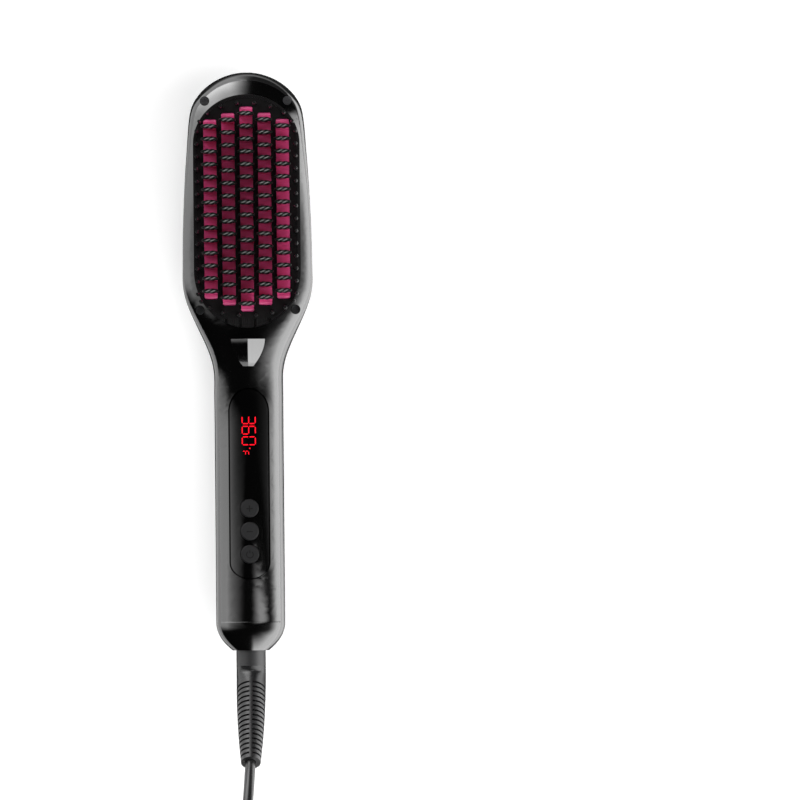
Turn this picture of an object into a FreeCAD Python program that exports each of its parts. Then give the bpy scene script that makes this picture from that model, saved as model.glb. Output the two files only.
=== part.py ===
"""Steam hair straightener brush, lying on its back.

+X across, +Y towards the head's tip, +Z the way the comb's blades point.
"""
import FreeCAD, Part
import math
import os
import re

import Sketcher
from FreeCAD import Placement, Rotation, Vector

# ---------------------------------------------------------------- driving sizes, millimetres and degrees
# "at" sizes are measured along the brush from the head's tip; "level" sizes are heights above the table.
SIZES = [
    ("tip_flat", 0.12, "where the shell's first section stands"),
    ("wall", 2.2, "wall of both shells"),
    ("clear_level", 60.0, "level above everything but the strain relief and the cord"),
    ("head_half", 32.55, "half width of the head at its widest"),
    ("head_taper", 3.55, "how much narrower the head is near its tip"),
    ("head_wide_at", 105.0, "where the head is widest"),
    ("head_taper_length", 78.0, "length over which the head narrows"),
    ("neck_end_at", 153.0, "where the neck has become the grip"),
    ("grip_half", 17.27, "half width of the grip"),
    ("head_round", 22.0, "length of the rounding at the head's tip, seen from above"),
    ("front_tip_level", 11.7, "level of the head's tip"),
    ("front_round", 20.5, "length of the rounding at the head's tip, seen from the side"),
    ("front_level", 27.3, "level of the front shell beside the comb"),
    ("neck_rise", 1.8, "how much the neck stands above it"),
    ("neck_rise_at", 98.0, "where the neck starts to rise"),
    ("neck_top_at", 127.0, "where the neck is highest"),
    ("neck_drop", 2.8, "how much the grip lies below the neck"),
    ("neck_drop_length", 44.0, "length of that drop"),
    ("tail_at", 175.0, "where the grip starts to curve forwards"),
    ("tail_rise", 5.7, "how far its front curves forwards"),
    ("tail_power", 1.9, "how late that curve comes"),
    ("back_low_at", 85.0, "where the back touches the table"),
    ("head_lift", 3.78, "how far the back rises towards the tip"),
    ("head_lift_length", 66.5, "length of that rise"),
    ("head_lift_power", 2.6, "how late that rise comes"),
    ("tip_lift", 4.5, "rounding of the back at the tip"),
    ("tip_lift_length", 6.0, "length of that rounding"),
    ("grip_lift", 8.46, "how far the back rises towards the cord"),
    ("grip_lift_power", 1.7, "how late that rise comes"),
    ("seam_tip_level", 10.0, "level of the shells' seam at the tip"),
    ("seam_rise", 11.3, "how far the seam rises along the head"),
    ("seam_high_at", 88.0, "where it is highest"),
    ("seam_drop", 5.0, "how far it falls along the neck"),
    ("seam_low_at", 185.0, "where it is lowest"),
    ("seam_tail", 6.5, "how far it rises again"),
    ("front_fullness", 0.676, "how full the front shell's section is; 0.55 would be an ellipse"),
    ("back_fullness", 0.613, "how full the rear shell's section is"),
    ("end_run", 17.0, "how far before the cap's end the grip's curves reach their full rise"),
    ("cap_length", 14.4, "length of the end cap"),
    ("cap_round", 14.4, "length over which the cap narrows"),
    ("cap_end_half", 9.1, "half width at the cap's end"),
    ("cap_power", 2.2, "roundness of the cap's sides"),
    ("cap_front_drop", 3.5, "how much the cap's front falls to its end"),
    ("cap_back_lift", 3.9, "how much the cap's back rises to its end"),
    # comb
    ("opening_margin", 5.95, "front shell beside the comb opening"),
    ("opening_at", 11.5, "upper end of the comb opening"),
    ("opening_end_at", 128.4, "lower end of the comb opening"),
    ("opening_round", 24.5, "length of its rounded upper end"),
    ("opening_end_round", 28.4, "length of its rounded lower end"),
    ("fit_gap", 0.15, "gap round a piece that sits in an opening"),
    ("rim_level", 27.6, "top of the comb frame's rim"),
    ("rim_width", 1.4, "width of that rim"),
    ("frame_level", 26.9, "top of the comb frame's plate"),
    ("frame_thickness", 2.5, "thickness of that plate"),
    ("frame_foot_level", 18.2, "lower edge of the comb frame's wall"),
    ("notch_pitch", 7.3, "pitch of the notches in the frame's lower band"),
    ("notch_width", 1.4, "width of a notch"),
    ("notch_length", 4.6, "length of a notch"),
    ("column_margin", 8.4, "outer blade column's middle to the edge of the comb opening"),
    ("column_width", 6.4, "width of a column and its blades"),
    ("row_pitch", 6.33, "pitch of the blades along a column"),
    ("first_row_at", 21.4, "first blade of the middle column"),
    ("middle_rows", 16, "blades in the middle column"),
    ("side_columns", 2, "columns on each side of the middle one"),
    ("column_over", 3.9, "how far a column reaches past its last blade"),
    ("column_level", 27.7, "top of a column"),
    ("blade_level", 44.0, "top of a blade"),
    ("blade_root", 2.4, "thickness of a blade at its root"),
    ("blade_edge", 1.3, "thickness of a blade at its top"),
    ("plate_thickness", 2.0, "thickness of the heater comb's plate"),
    ("plate_margin", 3.2, "how far that plate reaches past the columns"),
    ("cap_foot_level", 41.6, "lower edge of an anti-scald cap"),
    ("cap_tip_level", 50.6, "tip of an anti-scald cap"),
    ("cap_width", 8.2, "width of an anti-scald cap"),
    ("cap_thickness", 2.4, "thickness of an anti-scald cap"),
    ("cap_tip_width", 5.6, "width of a cap's two tips together"),
    ("cap_tip_dip", 1.5, "depth of the dip between a cap's two tips"),
    ("pin_radius", 1.1, "radius of an edge pin at its root"),
    ("pin_tip_radius", 0.75, "radius of an edge pin at its tip"),
    ("pin_level", 48.0, "top of the edge pins"),
    ("pin_gap", 0.03, "gap between the pins' feet and the rim"),
    ("pin_margin", 1.8, "ring of pins to the edge of the comb opening"),
    ("pin_top_at", 15.7, "upper end of the ring of pins"),
    ("pin_side_at", 30.0, "upper end of its straight sides"),
    ("pin_side_end_at", 111.4, "lower end of its straight sides"),
    ("pin_end_at", 122.3, "lower end of the ring of pins"),
    ("side_pins", 14, "pins on each straight side"),
    ("arc_pins", 8, "pins on each rounded end"),
    # heater
    ("element_half", 15.5, "half width of the heating element"),
    ("element_at", 30.0, "upper end of the heating element"),
    ("element_end_at", 108.0, "lower end of the heating element"),
    ("element_thickness", 3.0, "thickness of the heating element"),
    ("clamp_thickness", 1.2, "thickness of the heater clamp"),
    ("clamp_half", 6.0, "half width of the heater clamp"),
    ("insulator_thickness", 1.6, "thickness of the insulator"),
    ("fuse_radius", 2.0, "radius of the thermal fuse"),
    ("fuse_length", 11.0, "length of the thermal fuse"),
    ("sensor_radius", 1.5, "radius of the thermistor"),
    ("sensor_length", 5.0, "length of the thermistor"),
    # head screws
    ("screw_upper_inset", 11.85, "how much nearer to the middle the upper screws are than the head's side"),
    ("screw_upper_at", 14.5, "place of the upper screws"),
    ("screw_lower_inset", 8.55, "how much nearer to the middle the lower screws are than the head's side"),
    ("screw_lower_at", 119.4, "place of the lower screws"),
    ("recess_radius", 2.4, "radius of a screw recess"),
    ("recess_level", 19.2, "floor of a screw recess"),
    ("boss_radius", 3.6, "radius of a screw boss"),
    ("boss_level", 16.6, "where the front and rear bosses meet"),
    ("screw_length", 9.0, "length of a head screw's shank"),
    ("shank_radius", 1.3, "radius of a head screw's shank"),
    ("thread_gap", 0.1, "gap between a screw's shank and its pilot hole"),
    ("screw_head_radius", 2.2, "radius of a head screw's head"),
    ("screw_head_height", 1.8, "height of a head screw's head"),
    # nozzle
    ("opening_to_nozzle", 5.6, "from the comb opening to the mouth of the steam nozzle"),
    ("nozzle_length", 16.6, "length of the steam nozzle"),
    ("nozzle_half", 8.5, "half width of its mouth"),
    ("nozzle_height", 7.1, "height of its ridge at the mouth"),
    ("nozzle_power", 1.85, "roundness of its outline"),
    ("nozzle_wall", 1.2, "wall of the nozzle"),
    ("steam_hole_radius", 2.5, "radius of the steam hole under the nozzle"),
    ("nozzle_to_hole", 5.5, "from the nozzle's mouth to the steam hole"),
    # control panel
    ("lens_half", 10.15, "half width of the control lens"),
    ("nozzle_to_lens", 7.9, "from the nozzle's tip to the control lens"),
    ("keys_to_lens_end", 24.1, "from the middle key to the lens's lower end"),
    ("lens_round", 12.0, "length of its upper arch"),
    ("lens_end_round", 8.5, "length of its lower arch"),
    ("lens_thickness", 1.2, "thickness of the control lens"),
    ("key_radius", 4.6, "radius of a key"),
    ("key_gap", 0.3, "gap round a key"),
    ("key_pitch", 11.5, "pitch of the keys"),
    ("lens_to_keys", 71.8, "from the lens's upper end to the middle key"),
    ("key_tilt", 3.8, "tilt of the keys and the board"),
    ("key_proud", 0.35, "how far a key stands out"),
    ("key_flange", 0.9, "how much wider a key's flange is"),
    ("key_flange_thickness", 1.0, "thickness of that flange"),
    ("key_travel", 0.8, "how far a key can be pressed"),
    ("switch_width", 6.0, "width of a key switch"),
    ("switch_height", 3.6, "height of a key switch's case"),
    ("plunger_radius", 1.6, "radius of a key switch's plunger"),
    ("board_depth", 10.2, "depth of the board's top below the panel"),
    ("board_half", 11.0, "half width of the main board"),
    ("board_thickness", 1.6, "thickness of the main board"),
    ("board_lap", 7.5, "how far the board reaches under the display module"),
    ("lens_to_board_end", 9.6, "how far the board reaches past the lens"),
    ("board_to_cap", 11.6, "from the board's lower end to the cap's seam"),
    ("board_screw_half", 8.6, "half distance between the board screws"),
    ("board_boss_radius", 2.4, "radius of the bosses that carry the board"),
    ("board_shank_radius", 1.0, "radius of a board screw's shank"),
    ("board_screw_length", 5.5, "length of that shank"),
    ("board_head_radius", 1.9, "radius of a board screw's head"),
    ("board_head_height", 1.2, "height of that head"),
    ("board_screw_from_top", 16.0, "upper board screws to the board's upper end"),
    ("board_screw_from_end", 4.0, "lower board screws to the board's lower end"),
    ("lens_to_display", 12.0, "from the lens's upper end to the display module"),
    ("display_length", 24.0, "length of the display module"),
    ("display_half", 5.5, "half width of the display module"),
    ("display_depth", 5.5, "depth of the display module's back below the panel"),
    ("display_foot", 5.0, "length of the foot that stands on the board"),
    ("display_gap", 1.9, "gap between the display module and the front surface"),
    # tank, latch and back cover
    ("tank_at", 9.0, "upper end of the water tank"),
    ("tank_end_at", 127.2, "lower end of the water tank"),
    ("tank_level", 8.5, "top of the water tank"),
    ("tank_round", 27.2, "length of its rounded lower end"),
    ("tank_lip_level", 4.9, "level of the lip at its upper end"),
    ("tank_lip_round", 16.0, "length over which that lip rises"),
    ("tank_gap", 0.35, "gap between the tank and its bay"),
    ("tank_wall", 1.6, "wall of the tank"),
    ("lid_thickness", 1.6, "thickness of the tank's lid"),
    ("lid_half", 19.0, "half width of the tank's lid"),
    ("lid_at", 26.0, "upper end of the tank's lid"),
    ("lid_end_at", 99.0, "lower end of the tank's lid"),
    ("lid_round", 14.0, "length of its rounded ends"),
    ("tank_plug_at", 40.0, "place of the filler plug"),
    ("tank_plug_radius", 5.0, "radius of the filler plug"),
    ("valve_at", 88.0, "place of the tank's valve"),
    ("valve_radius", 3.4, "radius of the valve"),
    ("spigot_radius", 2.0, "radius of the valve's spigot"),
    ("spigot_height", 4.2, "how far the spigot stands above the lid"),
    ("running_gap", 0.08, "radial clearance of a running fit"),
    ("inlet_radius", 4.6, "radius of the water inlet"),
    ("inlet_height", 4.0, "how far the inlet stands above the bay"),
    ("bay_wall", 1.8, "wall over the tank bay and the back cover"),
    ("cover_at", 129.0, "upper end of the back cover"),
    ("cover_to_cap", 31.1, "from the back cover's lower end to the cap's seam"),
    ("cover_depth", 3.3, "depth of the back cover at its upper end"),
    ("cover_end_depth", 1.0, "depth of the back cover at its lower end"),
    ("latch_half", 7.0, "half width of the latch's thumb piece"),
    ("latch_at", 131.2, "upper end of the thumb piece"),
    ("latch_length", 13.6, "length of the thumb piece"),
    ("latch_travel", 3.0, "how far the latch slides"),
    ("latch_gap", 0.35, "gap round the latch"),
    ("latch_foot_level", 1.1, "outer face of the thumb piece"),
    ("skirt_level", 4.7, "lower face of the latch's skirt"),
    ("skirt_thickness", 1.3, "thickness of that skirt"),
    ("skirt_margin", 1.6, "how far the skirt reaches past the thumb piece"),
    ("rib_at", 134.0, "first rib of the latch"),
    ("rib_pitch", 3.8, "pitch of the latch's ribs"),
    ("rib_count", 3, "number of ribs"),
    ("rib_level", 0.1, "tip of a rib"),
    ("spring_radius", 0.95, "outer radius of the latch spring"),
    ("spring_length", 8.0, "length of the latch spring"),
    ("spring_wire", 0.22, "wire radius of the latch spring"),
    ("spring_turns", 8, "turns of the latch spring"),
    # water and steam
    ("pump_radius", 5.2, "radius of the pump"),
    ("pump_at", 157.0, "upper end of the pump"),
    ("pump_length", 27.0, "length of the pump"),
    ("pump_level", 12.9, "level of the pump's axis"),
    ("pump_side", 7.0, "distance of the pump's axis from the middle"),
    ("chamber_at", 134.5, "upper end of the steam chamber"),
    ("chamber_length", 20.0, "length of the steam chamber"),
    ("chamber_half", 8.5, "half width of the steam chamber"),
    ("chamber_level", 17.0, "lower face of the steam chamber"),
    ("chamber_height", 6.0, "height of the steam chamber"),
    ("port_side", 2.5, "distance of the pump's ports from its axis"),
    ("port_radius", 1.0, "radius of a port"),
    ("tube_radius", 1.7, "radius of the water tubes"),
    ("lead_radius", 0.75, "radius of a mains lead"),
    ("lead_side", 3.0, "distance of the mains leads from the middle"),
    # cord end
    ("cord_level", 21.9, "level of the swivel's axis"),
    ("sleeve_radius", 7.35, "radius of the swivel sleeve"),
    ("sleeve_bore", 4.6, "radius of its bore"),
    ("sleeve_out", 7.7, "how far the sleeve stands out of the cap"),
    ("collar_radius", 8.7, "radius of the sleeve's collar"),
    ("collar_thickness", 1.5, "thickness of that collar"),
    ("collar_in", 5.6, "depth of the collar inside the cap"),
    ("socket_radius", 7.4, "radius of the swivel socket"),
    ("socket_room", 9.2, "radius of the room for the collar in the cap"),
    ("socket_length", 10.0, "length of the swivel socket"),
    ("contact_radius", 2.2, "radius of the swivel's contact pin"),
    ("contact_length", 9.0, "length of the swivel's contact pin"),
    ("relief_straight", 2.0, "straight start of the strain relief"),
    ("relief_bend", 9.4, "bend radius of its middle line"),
    ("relief_angle", 47.0, "angle at which the strain relief leaves"),
    ("relief_length", 60.5, "length of its slanted part"),
    ("relief_end_half", 4.9, "half width of its end"),
    ("relief_end_height", 4.3, "half height of its end"),
    ("relief_slots", 16, "slots along it"),
    ("relief_slot_pitch", 3.2, "pitch of those slots"),
    ("relief_slot_width", 1.2, "width of a slot"),
    ("relief_slot_depth", 1.5, "depth of a slot"),
    ("relief_slot_at", 9.6, "place of the first slot"),
    ("relief_spine", 0.75, "half width of the four spines between the slots"),
    ("loop_half", 1.9, "half thickness of the hanging loop"),
    ("cord_radius", 2.6, "radius of the cord"),
    ("coil_turn_radius", 31.2, "radius of the coil at the middle of its turns"),
    ("coil_turns_across", 3.75, "turns of each of its layers"),
    ("coil_layers", 2, "layers of turns"),
    ("coil_side", 6.5, "how far the coil lies to the side of the brush's middle"),
    ("plug_tail", 16.0, "free cord between the coil and the plug"),
    ("plug_level", 7.8, "level of the plug's middle"),
    ("plug_length", 34.0, "length of the plug's body"),
    ("plug_half", 12.5, "half width of the plug's body"),
    ("plug_neck", 4.1, "radius of its neck"),
    ("blade_pitch", 12.7, "distance between the plug's blades"),
    ("blade_length", 16.0, "length of a plug blade"),
    ("blade_width", 6.35, "width of a plug blade"),
    ("blade_thickness", 1.5, "thickness of a plug blade"),
    ("blade_hole", 1.6, "radius of the hole in a plug blade"),
    ("cord_seat", 6.0, "how far the cord reaches into the strain relief"),
]

doc = FreeCAD.newDocument("SteamBrush")
sheet = doc.addObject("Spreadsheet::Sheet", "Sizes")
for row, (alias, value, meaning) in enumerate(SIZES, start=1):
    sheet.set("A%d" % row, alias)
    sheet.set("B%d" % row, str(value))
    sheet.set("C%d" % row, meaning)
    sheet.setAlias("B%d" % row, alias)
doc.recompute()
NAMES = {alias for alias, value, meaning in SIZES}
# sizes that follow from those of the sheet
FOLLOWS = {
    "opening_half": "head_half - opening_margin",
    "column_pitch": "(opening_half - column_margin) / side_columns",
    "pin_half": "opening_half - pin_margin",
    "screw_upper_half": "head_half - screw_upper_inset",
    "screw_lower_half": "head_half - screw_lower_inset",
    "nozzle_at": "opening_end_at + opening_to_nozzle",
    "steam_hole_at": "nozzle_at + nozzle_to_hole",
    "lens_at": "nozzle_at + nozzle_length + nozzle_to_lens",
    "keys_at": "lens_at + lens_to_keys",
    "lens_end_at": "keys_at + keys_to_lens_end",
    "display_at": "lens_at + lens_to_display",
    "board_at": "display_at + display_length - board_lap",
    "board_end_at": "lens_end_at + lens_to_board_end",
    "board_screw_at": "board_at + board_screw_from_top",
    "board_screw_end_at": "board_end_at - board_screw_from_end",
    "cap_at": "board_end_at + board_to_cap",
    "body_length": "cap_at + cap_length",
    "cover_end_at": "cap_at - cover_to_cap",
    "tail_length": "body_length - end_run - tail_at",
    "grip_lift_length": "body_length - end_run - back_low_at",
    "seam_tail_length": "body_length - end_run + 2 - seam_low_at",
}


class Size:
    """Reads a size as a plain number: size.wall."""

    def __getattr__(self, alias):
        value = worked_out(FOLLOWS[alias]) if alias in FOLLOWS else float(getattr(sheet, alias))
        setattr(self, alias, value)
        return value


size = Size()
TIP_Y = "((body_length + sleeve_out + tip_flat) / 2)"


def expression(text):
    """The same formula with every size name turned into references to the sheet."""
    def spelled(word):
        if word[0] in FOLLOWS:
            return "(%s)" % expression(FOLLOWS[word[0]])
        return "Sizes." + word[0] if word[0] in NAMES else word[0]

    return re.sub(r"[a-z_]+", spelled, text)


def worked_out(text):
    return float(sheet.evalExpression(expression(text)))


tip_y = worked_out(TIP_Y)


def along(text):
    """The formula of the Y of a place measured from the head's tip."""
    return "%s - (%s)" % (TIP_Y, text)


def y_at(distance):
    return tip_y - distance


# ---------------------------------------------------------------- document helpers
pieces = []


def piece(item, name):
    item.Label = name
    pieces.append(item)
    return item


def primitive(kind, name, at, turn=None, **sizes):
    """A Part primitive whose sizes and place are formulas of the sheet's sizes."""
    item = doc.addObject("Part::" + kind, name)
    if turn:
        item.Placement.Rotation = Rotation(turn[0], turn[1])
    for key, text in sizes.items():
        item.setExpression(key, expression(text))
    for axis, text in zip("xyz", at):
        item.setExpression("Placement.Base." + axis, expression(text))
    return item


def box(name, x, y, z, wide, long, high):
    """A box centred on x, from its far end y towards the cord, standing on z."""
    return primitive("Box", name, ("%s - (%s) / 2" % (x, wide), "%s - (%s)" % (y, long), z),
                     Length=wide, Width=long, Height=high)


TOWARDS_CORD = (Vector(1, 0, 0), 90)


def rod(name, x, y, z, radius, length):
    """A cylinder along the brush, from y towards the cord."""
    return primitive("Cylinder", name, (x, y, z), TOWARDS_CORD, Radius=radius, Height=length)


def fused(name, *items):
    result = doc.addObject("Part::MultiFuse", name)
    result.Shapes = list(items)
    return result


def feature(name, shape):
    item = doc.addObject("Part::Feature", name)
    item.Shape = shape
    return item


def plane(body, role):
    return next(part for part in body.Origin.OriginFeatures if part.Role == role)


def sketch_on(body, name, role):
    sketch = body.newObject("Sketcher::SketchObject", name)
    sketch.AttachmentSupport = [(plane(body, role), "")]
    sketch.MapMode = "FlatFace"
    return sketch


def outline(sketch, corners):
    """Closed straight outline; each corner is a pair of formulas, held by constraints bound to the sheet."""
    spots = [Vector(worked_out(across), worked_out(up), 0) for across, up in corners]
    first = sketch.GeometryCount
    for start, end in zip(spots, spots[1:] + spots[:1]):
        sketch.addGeometry(Part.LineSegment(start, end), False)
    for index, (spot, corner) in enumerate(zip(spots, corners)):
        line = first + index
        after = first + (index + 1) % len(spots)
        sketch.addConstraint(Sketcher.Constraint("Coincident", line, 2, after, 1))
        held_by = (("DistanceX", -2, spot.x, corner[0]), ("DistanceY", -1, spot.y, corner[1]))
        for kind, axis, value, text in held_by:
            if value == 0:
                sketch.addConstraint(Sketcher.Constraint("PointOnObject", line, 1, axis))
            else:
                held = sketch.addConstraint(Sketcher.Constraint(kind, -1, 1, line, 1, value))
                sketch.setExpression("Constraints[%d]" % held, expression(text))


def turned(name, corners, at, turn=None):
    """A body turned from a half profile of (radius, height) corners about its own Z axis."""
    body = doc.addObject("PartDesign::Body", name)
    sketch = sketch_on(body, name + "_profile", "XZ_Plane")
    outline(sketch, corners)
    whole = body.newObject("PartDesign::Revolution", name + "_turned")
    whole.Profile = sketch
    whole.ReferenceAxis = (sketch, ["V_Axis"])
    whole.Angle = 360
    if turn:
        body.Placement.Rotation = Rotation(turn[0], turn[1])
    if at:
        for axis, text in zip("xyz", at):
            body.setExpression("Placement.Base." + axis, expression(text))
    return body


def copies(name, shape, places):
    """The same solid at several places, kept as one group of separate solids."""
    solids = []
    for place in places:
        solid = shape.copy()
        solid.Placement = place.multiply(solid.Placement)
        solids.append(solid)
    return feature(name, Part.makeCompound(solids))


# ---------------------------------------------------------------- the shells' form
def ease(share):
    share = min(max(share, 0.0), 1.0)
    return share * share * (3 - 2 * share)


def arch(share):
    share = min(max(share, 0.0), 1.0)
    return math.sqrt(1 - (1 - share) ** 2)


def into_cap(at):
    """0 at the cap's end, 1 where its sides start to narrow."""
    return (size.body_length - at) / size.cap_round


def half_width(at):
    """Half width of the brush, seen from above."""
    half = size.head_half
    if at < size.head_wide_at:
        half -= size.head_taper * ((size.head_wide_at - at) / size.head_taper_length) ** 2
    neck = size.neck_end_at - size.head_wide_at
    half -= (size.head_half - size.grip_half) * ease((at - size.head_wide_at) / neck)
    if into_cap(at) < 1:
        half = size.cap_end_half + (half - size.cap_end_half) * (1 - (1 - into_cap(at)) ** size.cap_power)
    return half * arch(at / size.head_round)


def front_level(at):
    """Height of the front surface over the middle line."""
    level = size.front_level
    level += size.neck_rise * ease((at - size.neck_rise_at) / (size.neck_top_at - size.neck_rise_at))
    level -= size.neck_drop * ease((at - size.neck_top_at) / size.neck_drop_length)
    if at > size.tail_at:
        level += size.tail_rise * ((at - size.tail_at) / size.tail_length) ** size.tail_power
    if into_cap(at) < 1:
        level -= size.cap_front_drop * (1 - into_cap(at)) ** 2
    return size.front_tip_level + (level - size.front_tip_level) * arch(at / size.front_round)


def back_level(at):
    """Height of the back surface over the middle line."""
    if at < size.back_low_at:
        level = size.head_lift * ((size.back_low_at - at) / size.head_lift_length) ** size.head_lift_power
    else:
        level = size.grip_lift * ((at - size.back_low_at) / size.grip_lift_length) ** size.grip_lift_power
    if into_cap(at) < 1:
        level += size.cap_back_lift * (1 - into_cap(at)) ** 2
    return level + size.tip_lift * (1 - arch(at / size.tip_lift_length))


def seam_level(at):
    """Height of the seam between the two shells."""
    if at < size.seam_high_at:
        return size.seam_tip_level + size.seam_rise * (1 - (1 - at / size.seam_high_at) ** 2.2)
    fall = ease((at - size.seam_high_at) / (size.seam_low_at - size.seam_high_at))
    level = size.seam_tip_level + size.seam_rise - size.seam_drop * fall
    if at > size.seam_low_at:
        level += size.seam_tail * ((at - size.seam_low_at) / size.seam_tail_length) ** 1.6
    return level


OVERLAP = 4.0
TIP_STEPS = 7


def half_section(at, side, inset, overlap):
    """Half a section across the brush: side 1 is the front half, side -1 the rear half.

    The curve bulges a little more than an ellipse; with an overlap it has straight legs past the seam.
    """
    foot, y = seam_level(at) - side * (1.0 if overlap else 0.0), y_at(at)
    half = half_width(at) - inset
    crown = front_level(at) - inset if side > 0 else back_level(at) + inset
    fullness = size.front_fullness if side > 0 else size.back_fullness
    flank = foot + fullness * (crown - foot)
    poles = [Vector(half, y, foot), Vector(half, y, flank), Vector(fullness * half, y, crown),
             Vector(-fullness * half, y, crown), Vector(-half, y, flank), Vector(-half, y, foot)]
    curve = Part.BSplineCurve()
    curve.buildFromPolesMultsKnots(poles, [4, 2, 4], [0, 0.5, 1], False, 3)
    edges = [curve.toShape()]
    right, left = poles[0], poles[-1]
    if overlap:
        down = Vector(0, 0, -side * overlap)
        edges += [Part.makeLine(left, left + down), Part.makeLine(left + down, right + down),
                  Part.makeLine(right + down, right)]
    else:
        edges.append(Part.makeLine(left, right))
    return Part.Wire(edges)


def stations(start, end, spacing=13.0):
    """Places of the sections: even steps round the tip's quarter circle, close in the neck, wider elsewhere."""
    places = [start]
    if start < size.head_round:
        first = math.acos(1 - start / size.head_round)
        angles = [first + (math.pi / 2 - first) * step / TIP_STEPS for step in range(1, TIP_STEPS + 1)]
        places += [size.head_round * (1 - math.cos(angle)) for angle in angles]
    while places[-1] < end:
        in_neck = size.head_wide_at - 14 < places[-1] < size.neck_end_at + 4
        gap = spacing / 2 if in_neck else spacing
        left = end - places[-1]
        places.append(end if left < 1.3 * gap else places[-1] + gap)
    return places


def half_form(side, start, end, inset=0.0, overlap=0.0, spacing=13.0):
    """Solid of one half of the brush's form between two places."""
    wires = [half_section(at, side, inset, overlap) for at in stations(start, end, spacing)]
    return Part.makeLoft(wires, True, False)


def prism(edges, half=60.0):
    """Solid between x = -half and x = half over a closed outline drawn in the plane x = 0."""
    face = Part.Face(Part.Wire(Part.__sortEdges__(edges)))
    face.translate(Vector(-half, 0, 0))
    return face.extrude(Vector(2 * half, 0, 0))


BELOW = -6.0


def side_spot(at, level):
    return Vector(0, y_at(at), level)


def quarter(centre_at, centre_level, length, height):
    """Quarter ellipse in the plane x = 0, from its end along the brush up to its top."""
    centre = side_spot(centre_at, centre_level)
    end = side_spot(centre_at + length, centre_level)
    top = side_spot(centre_at, centre_level + height)
    if abs(length) > height:
        curve = Part.Ellipse(end, top, centre)
        return Part.ArcOfEllipse(curve, 0, math.pi / 2).toShape()
    curve = Part.Ellipse(top, end, centre)
    return Part.ArcOfEllipse(curve, 0, math.pi / 2).toShape()


def tank_space(extra, drop=0.0):
    """Everything behind the tank's top face, which is moved out by extra and down by drop."""
    level = size.tank_level + extra - drop
    lip_level = size.tank_lip_level + extra - drop
    start, end = size.tank_at - extra, size.tank_end_at + extra
    lip_end, round_start = size.tank_at + size.tank_lip_round, size.tank_end_at - size.tank_round
    spots = [side_spot(start, lip_level), side_spot(start, BELOW), side_spot(end, BELOW), side_spot(end, 0)]
    edges = [Part.makeLine(a, b) for a, b in zip(spots, spots[1:])]
    edges.append(quarter(round_start, 0, end - round_start, level))
    edges.append(Part.makeLine(side_spot(round_start, level), side_spot(lip_end, level)))
    edges.append(quarter(lip_end, lip_level, start - lip_end, level - lip_level))
    return prism(edges)


def cover_line(at):
    share = (at - size.cover_at) / (size.cover_end_at - size.cover_at)
    return back_level(at) + size.cover_depth + (size.cover_end_depth - size.cover_depth) * share


def cover_space(extra):
    """Everything behind the back cover's inner face, which is moved out by extra."""
    start, end = size.cover_at - extra, size.cover_end_at + extra
    steps = 6
    places = [start + (end - start) * step / steps for step in range(steps + 1)]
    curve = Part.BSplineCurve()
    curve.interpolate(Points=[side_spot(at, cover_line(at) + extra) for at in places])
    spots = [curve.EndPoint, side_spot(end, BELOW), side_spot(start, BELOW), curve.StartPoint]
    return prism([curve.toShape()] + [Part.makeLine(a, b) for a, b in zip(spots, spots[1:])])


def upright(at_x, at, level, radius, top):
    return Part.makeCylinder(radius, top - level, Vector(at_x, y_at(at), level))


def brick(x_half, start, end, level, top, middle=0.0):
    """Box over x = middle ± x_half, from one place along the brush to another, between two levels."""
    corner = Vector(middle - x_half, y_at(end), level)
    return Part.makeBox(2 * x_half, end - start, top - level, corner)


def oval(half, start, end, start_round, end_round, level, top, extra=0.0):
    """Upright prism with straight sides and two half-elliptic ends, grown by extra."""
    half, start, end = half + extra, start - extra, end + extra
    high, low = start + start_round + extra, end - end_round - extra

    def quarter_round(centre_at, end_at, side):
        centre = Vector(0, y_at(centre_at), level)
        tip, flank = Vector(0, y_at(end_at), level), Vector(side * half, y_at(centre_at), level)
        length = abs(end_at - centre_at)
        major, minor = (tip, flank) if length > half else (flank, tip)
        return Part.ArcOfEllipse(Part.Ellipse(major, minor, centre), 0, math.pi / 2).toShape()

    edges = [quarter_round(high, start, side) for side in (1, -1)]
    edges += [quarter_round(low, end, side) for side in (1, -1)]
    edges += [Part.makeLine(Vector(side * half, y_at(high), level), Vector(side * half, y_at(low), level))
              for side in (1, -1)]
    face = Part.Face(Part.Wire(Part.__sortEdges__(edges)))
    return face.extrude(Vector(0, 0, top - level))


def opening(level, top, extra=0.0):
    """Prism with the comb opening's outline."""
    return oval(size.opening_half, size.opening_at, size.opening_end_at, size.opening_round,
                size.opening_end_round, level, top, extra)


front_form = half_form(1, size.tip_flat, size.cap_at)
rear_form = half_form(-1, size.tip_flat, size.cap_at)
INNER_START = size.tip_flat + size.wall + 0.8

SCREWS = [(side * half, at) for side in (1, -1) for half, at in
          ((size.screw_upper_half, size.screw_upper_at), (size.screw_lower_half, size.screw_lower_at))]
BOARD_SCREWS = [(side * size.board_screw_half, at) for side in (1, -1)
                for at in (size.board_screw_at, size.board_screw_end_at)]
KEY_PLACES = [size.keys_at + step * size.key_pitch for step in (-1, 0, 1)]

# the panel's own plane: it passes through the middle key's centre on the surface, tilted like the keys
panel_place = Placement(Vector(0, y_at(size.keys_at), front_level(size.keys_at)),
                        Rotation(Vector(1, 0, 0), -size.key_tilt))


def on_panel(x, at, depth):
    """Placement of something upright on the panel, depth below its plane."""
    run = (size.keys_at - at) / math.cos(math.radians(size.key_tilt))
    return panel_place.multiply(Placement(Vector(x, run, -depth), Rotation()))


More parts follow.
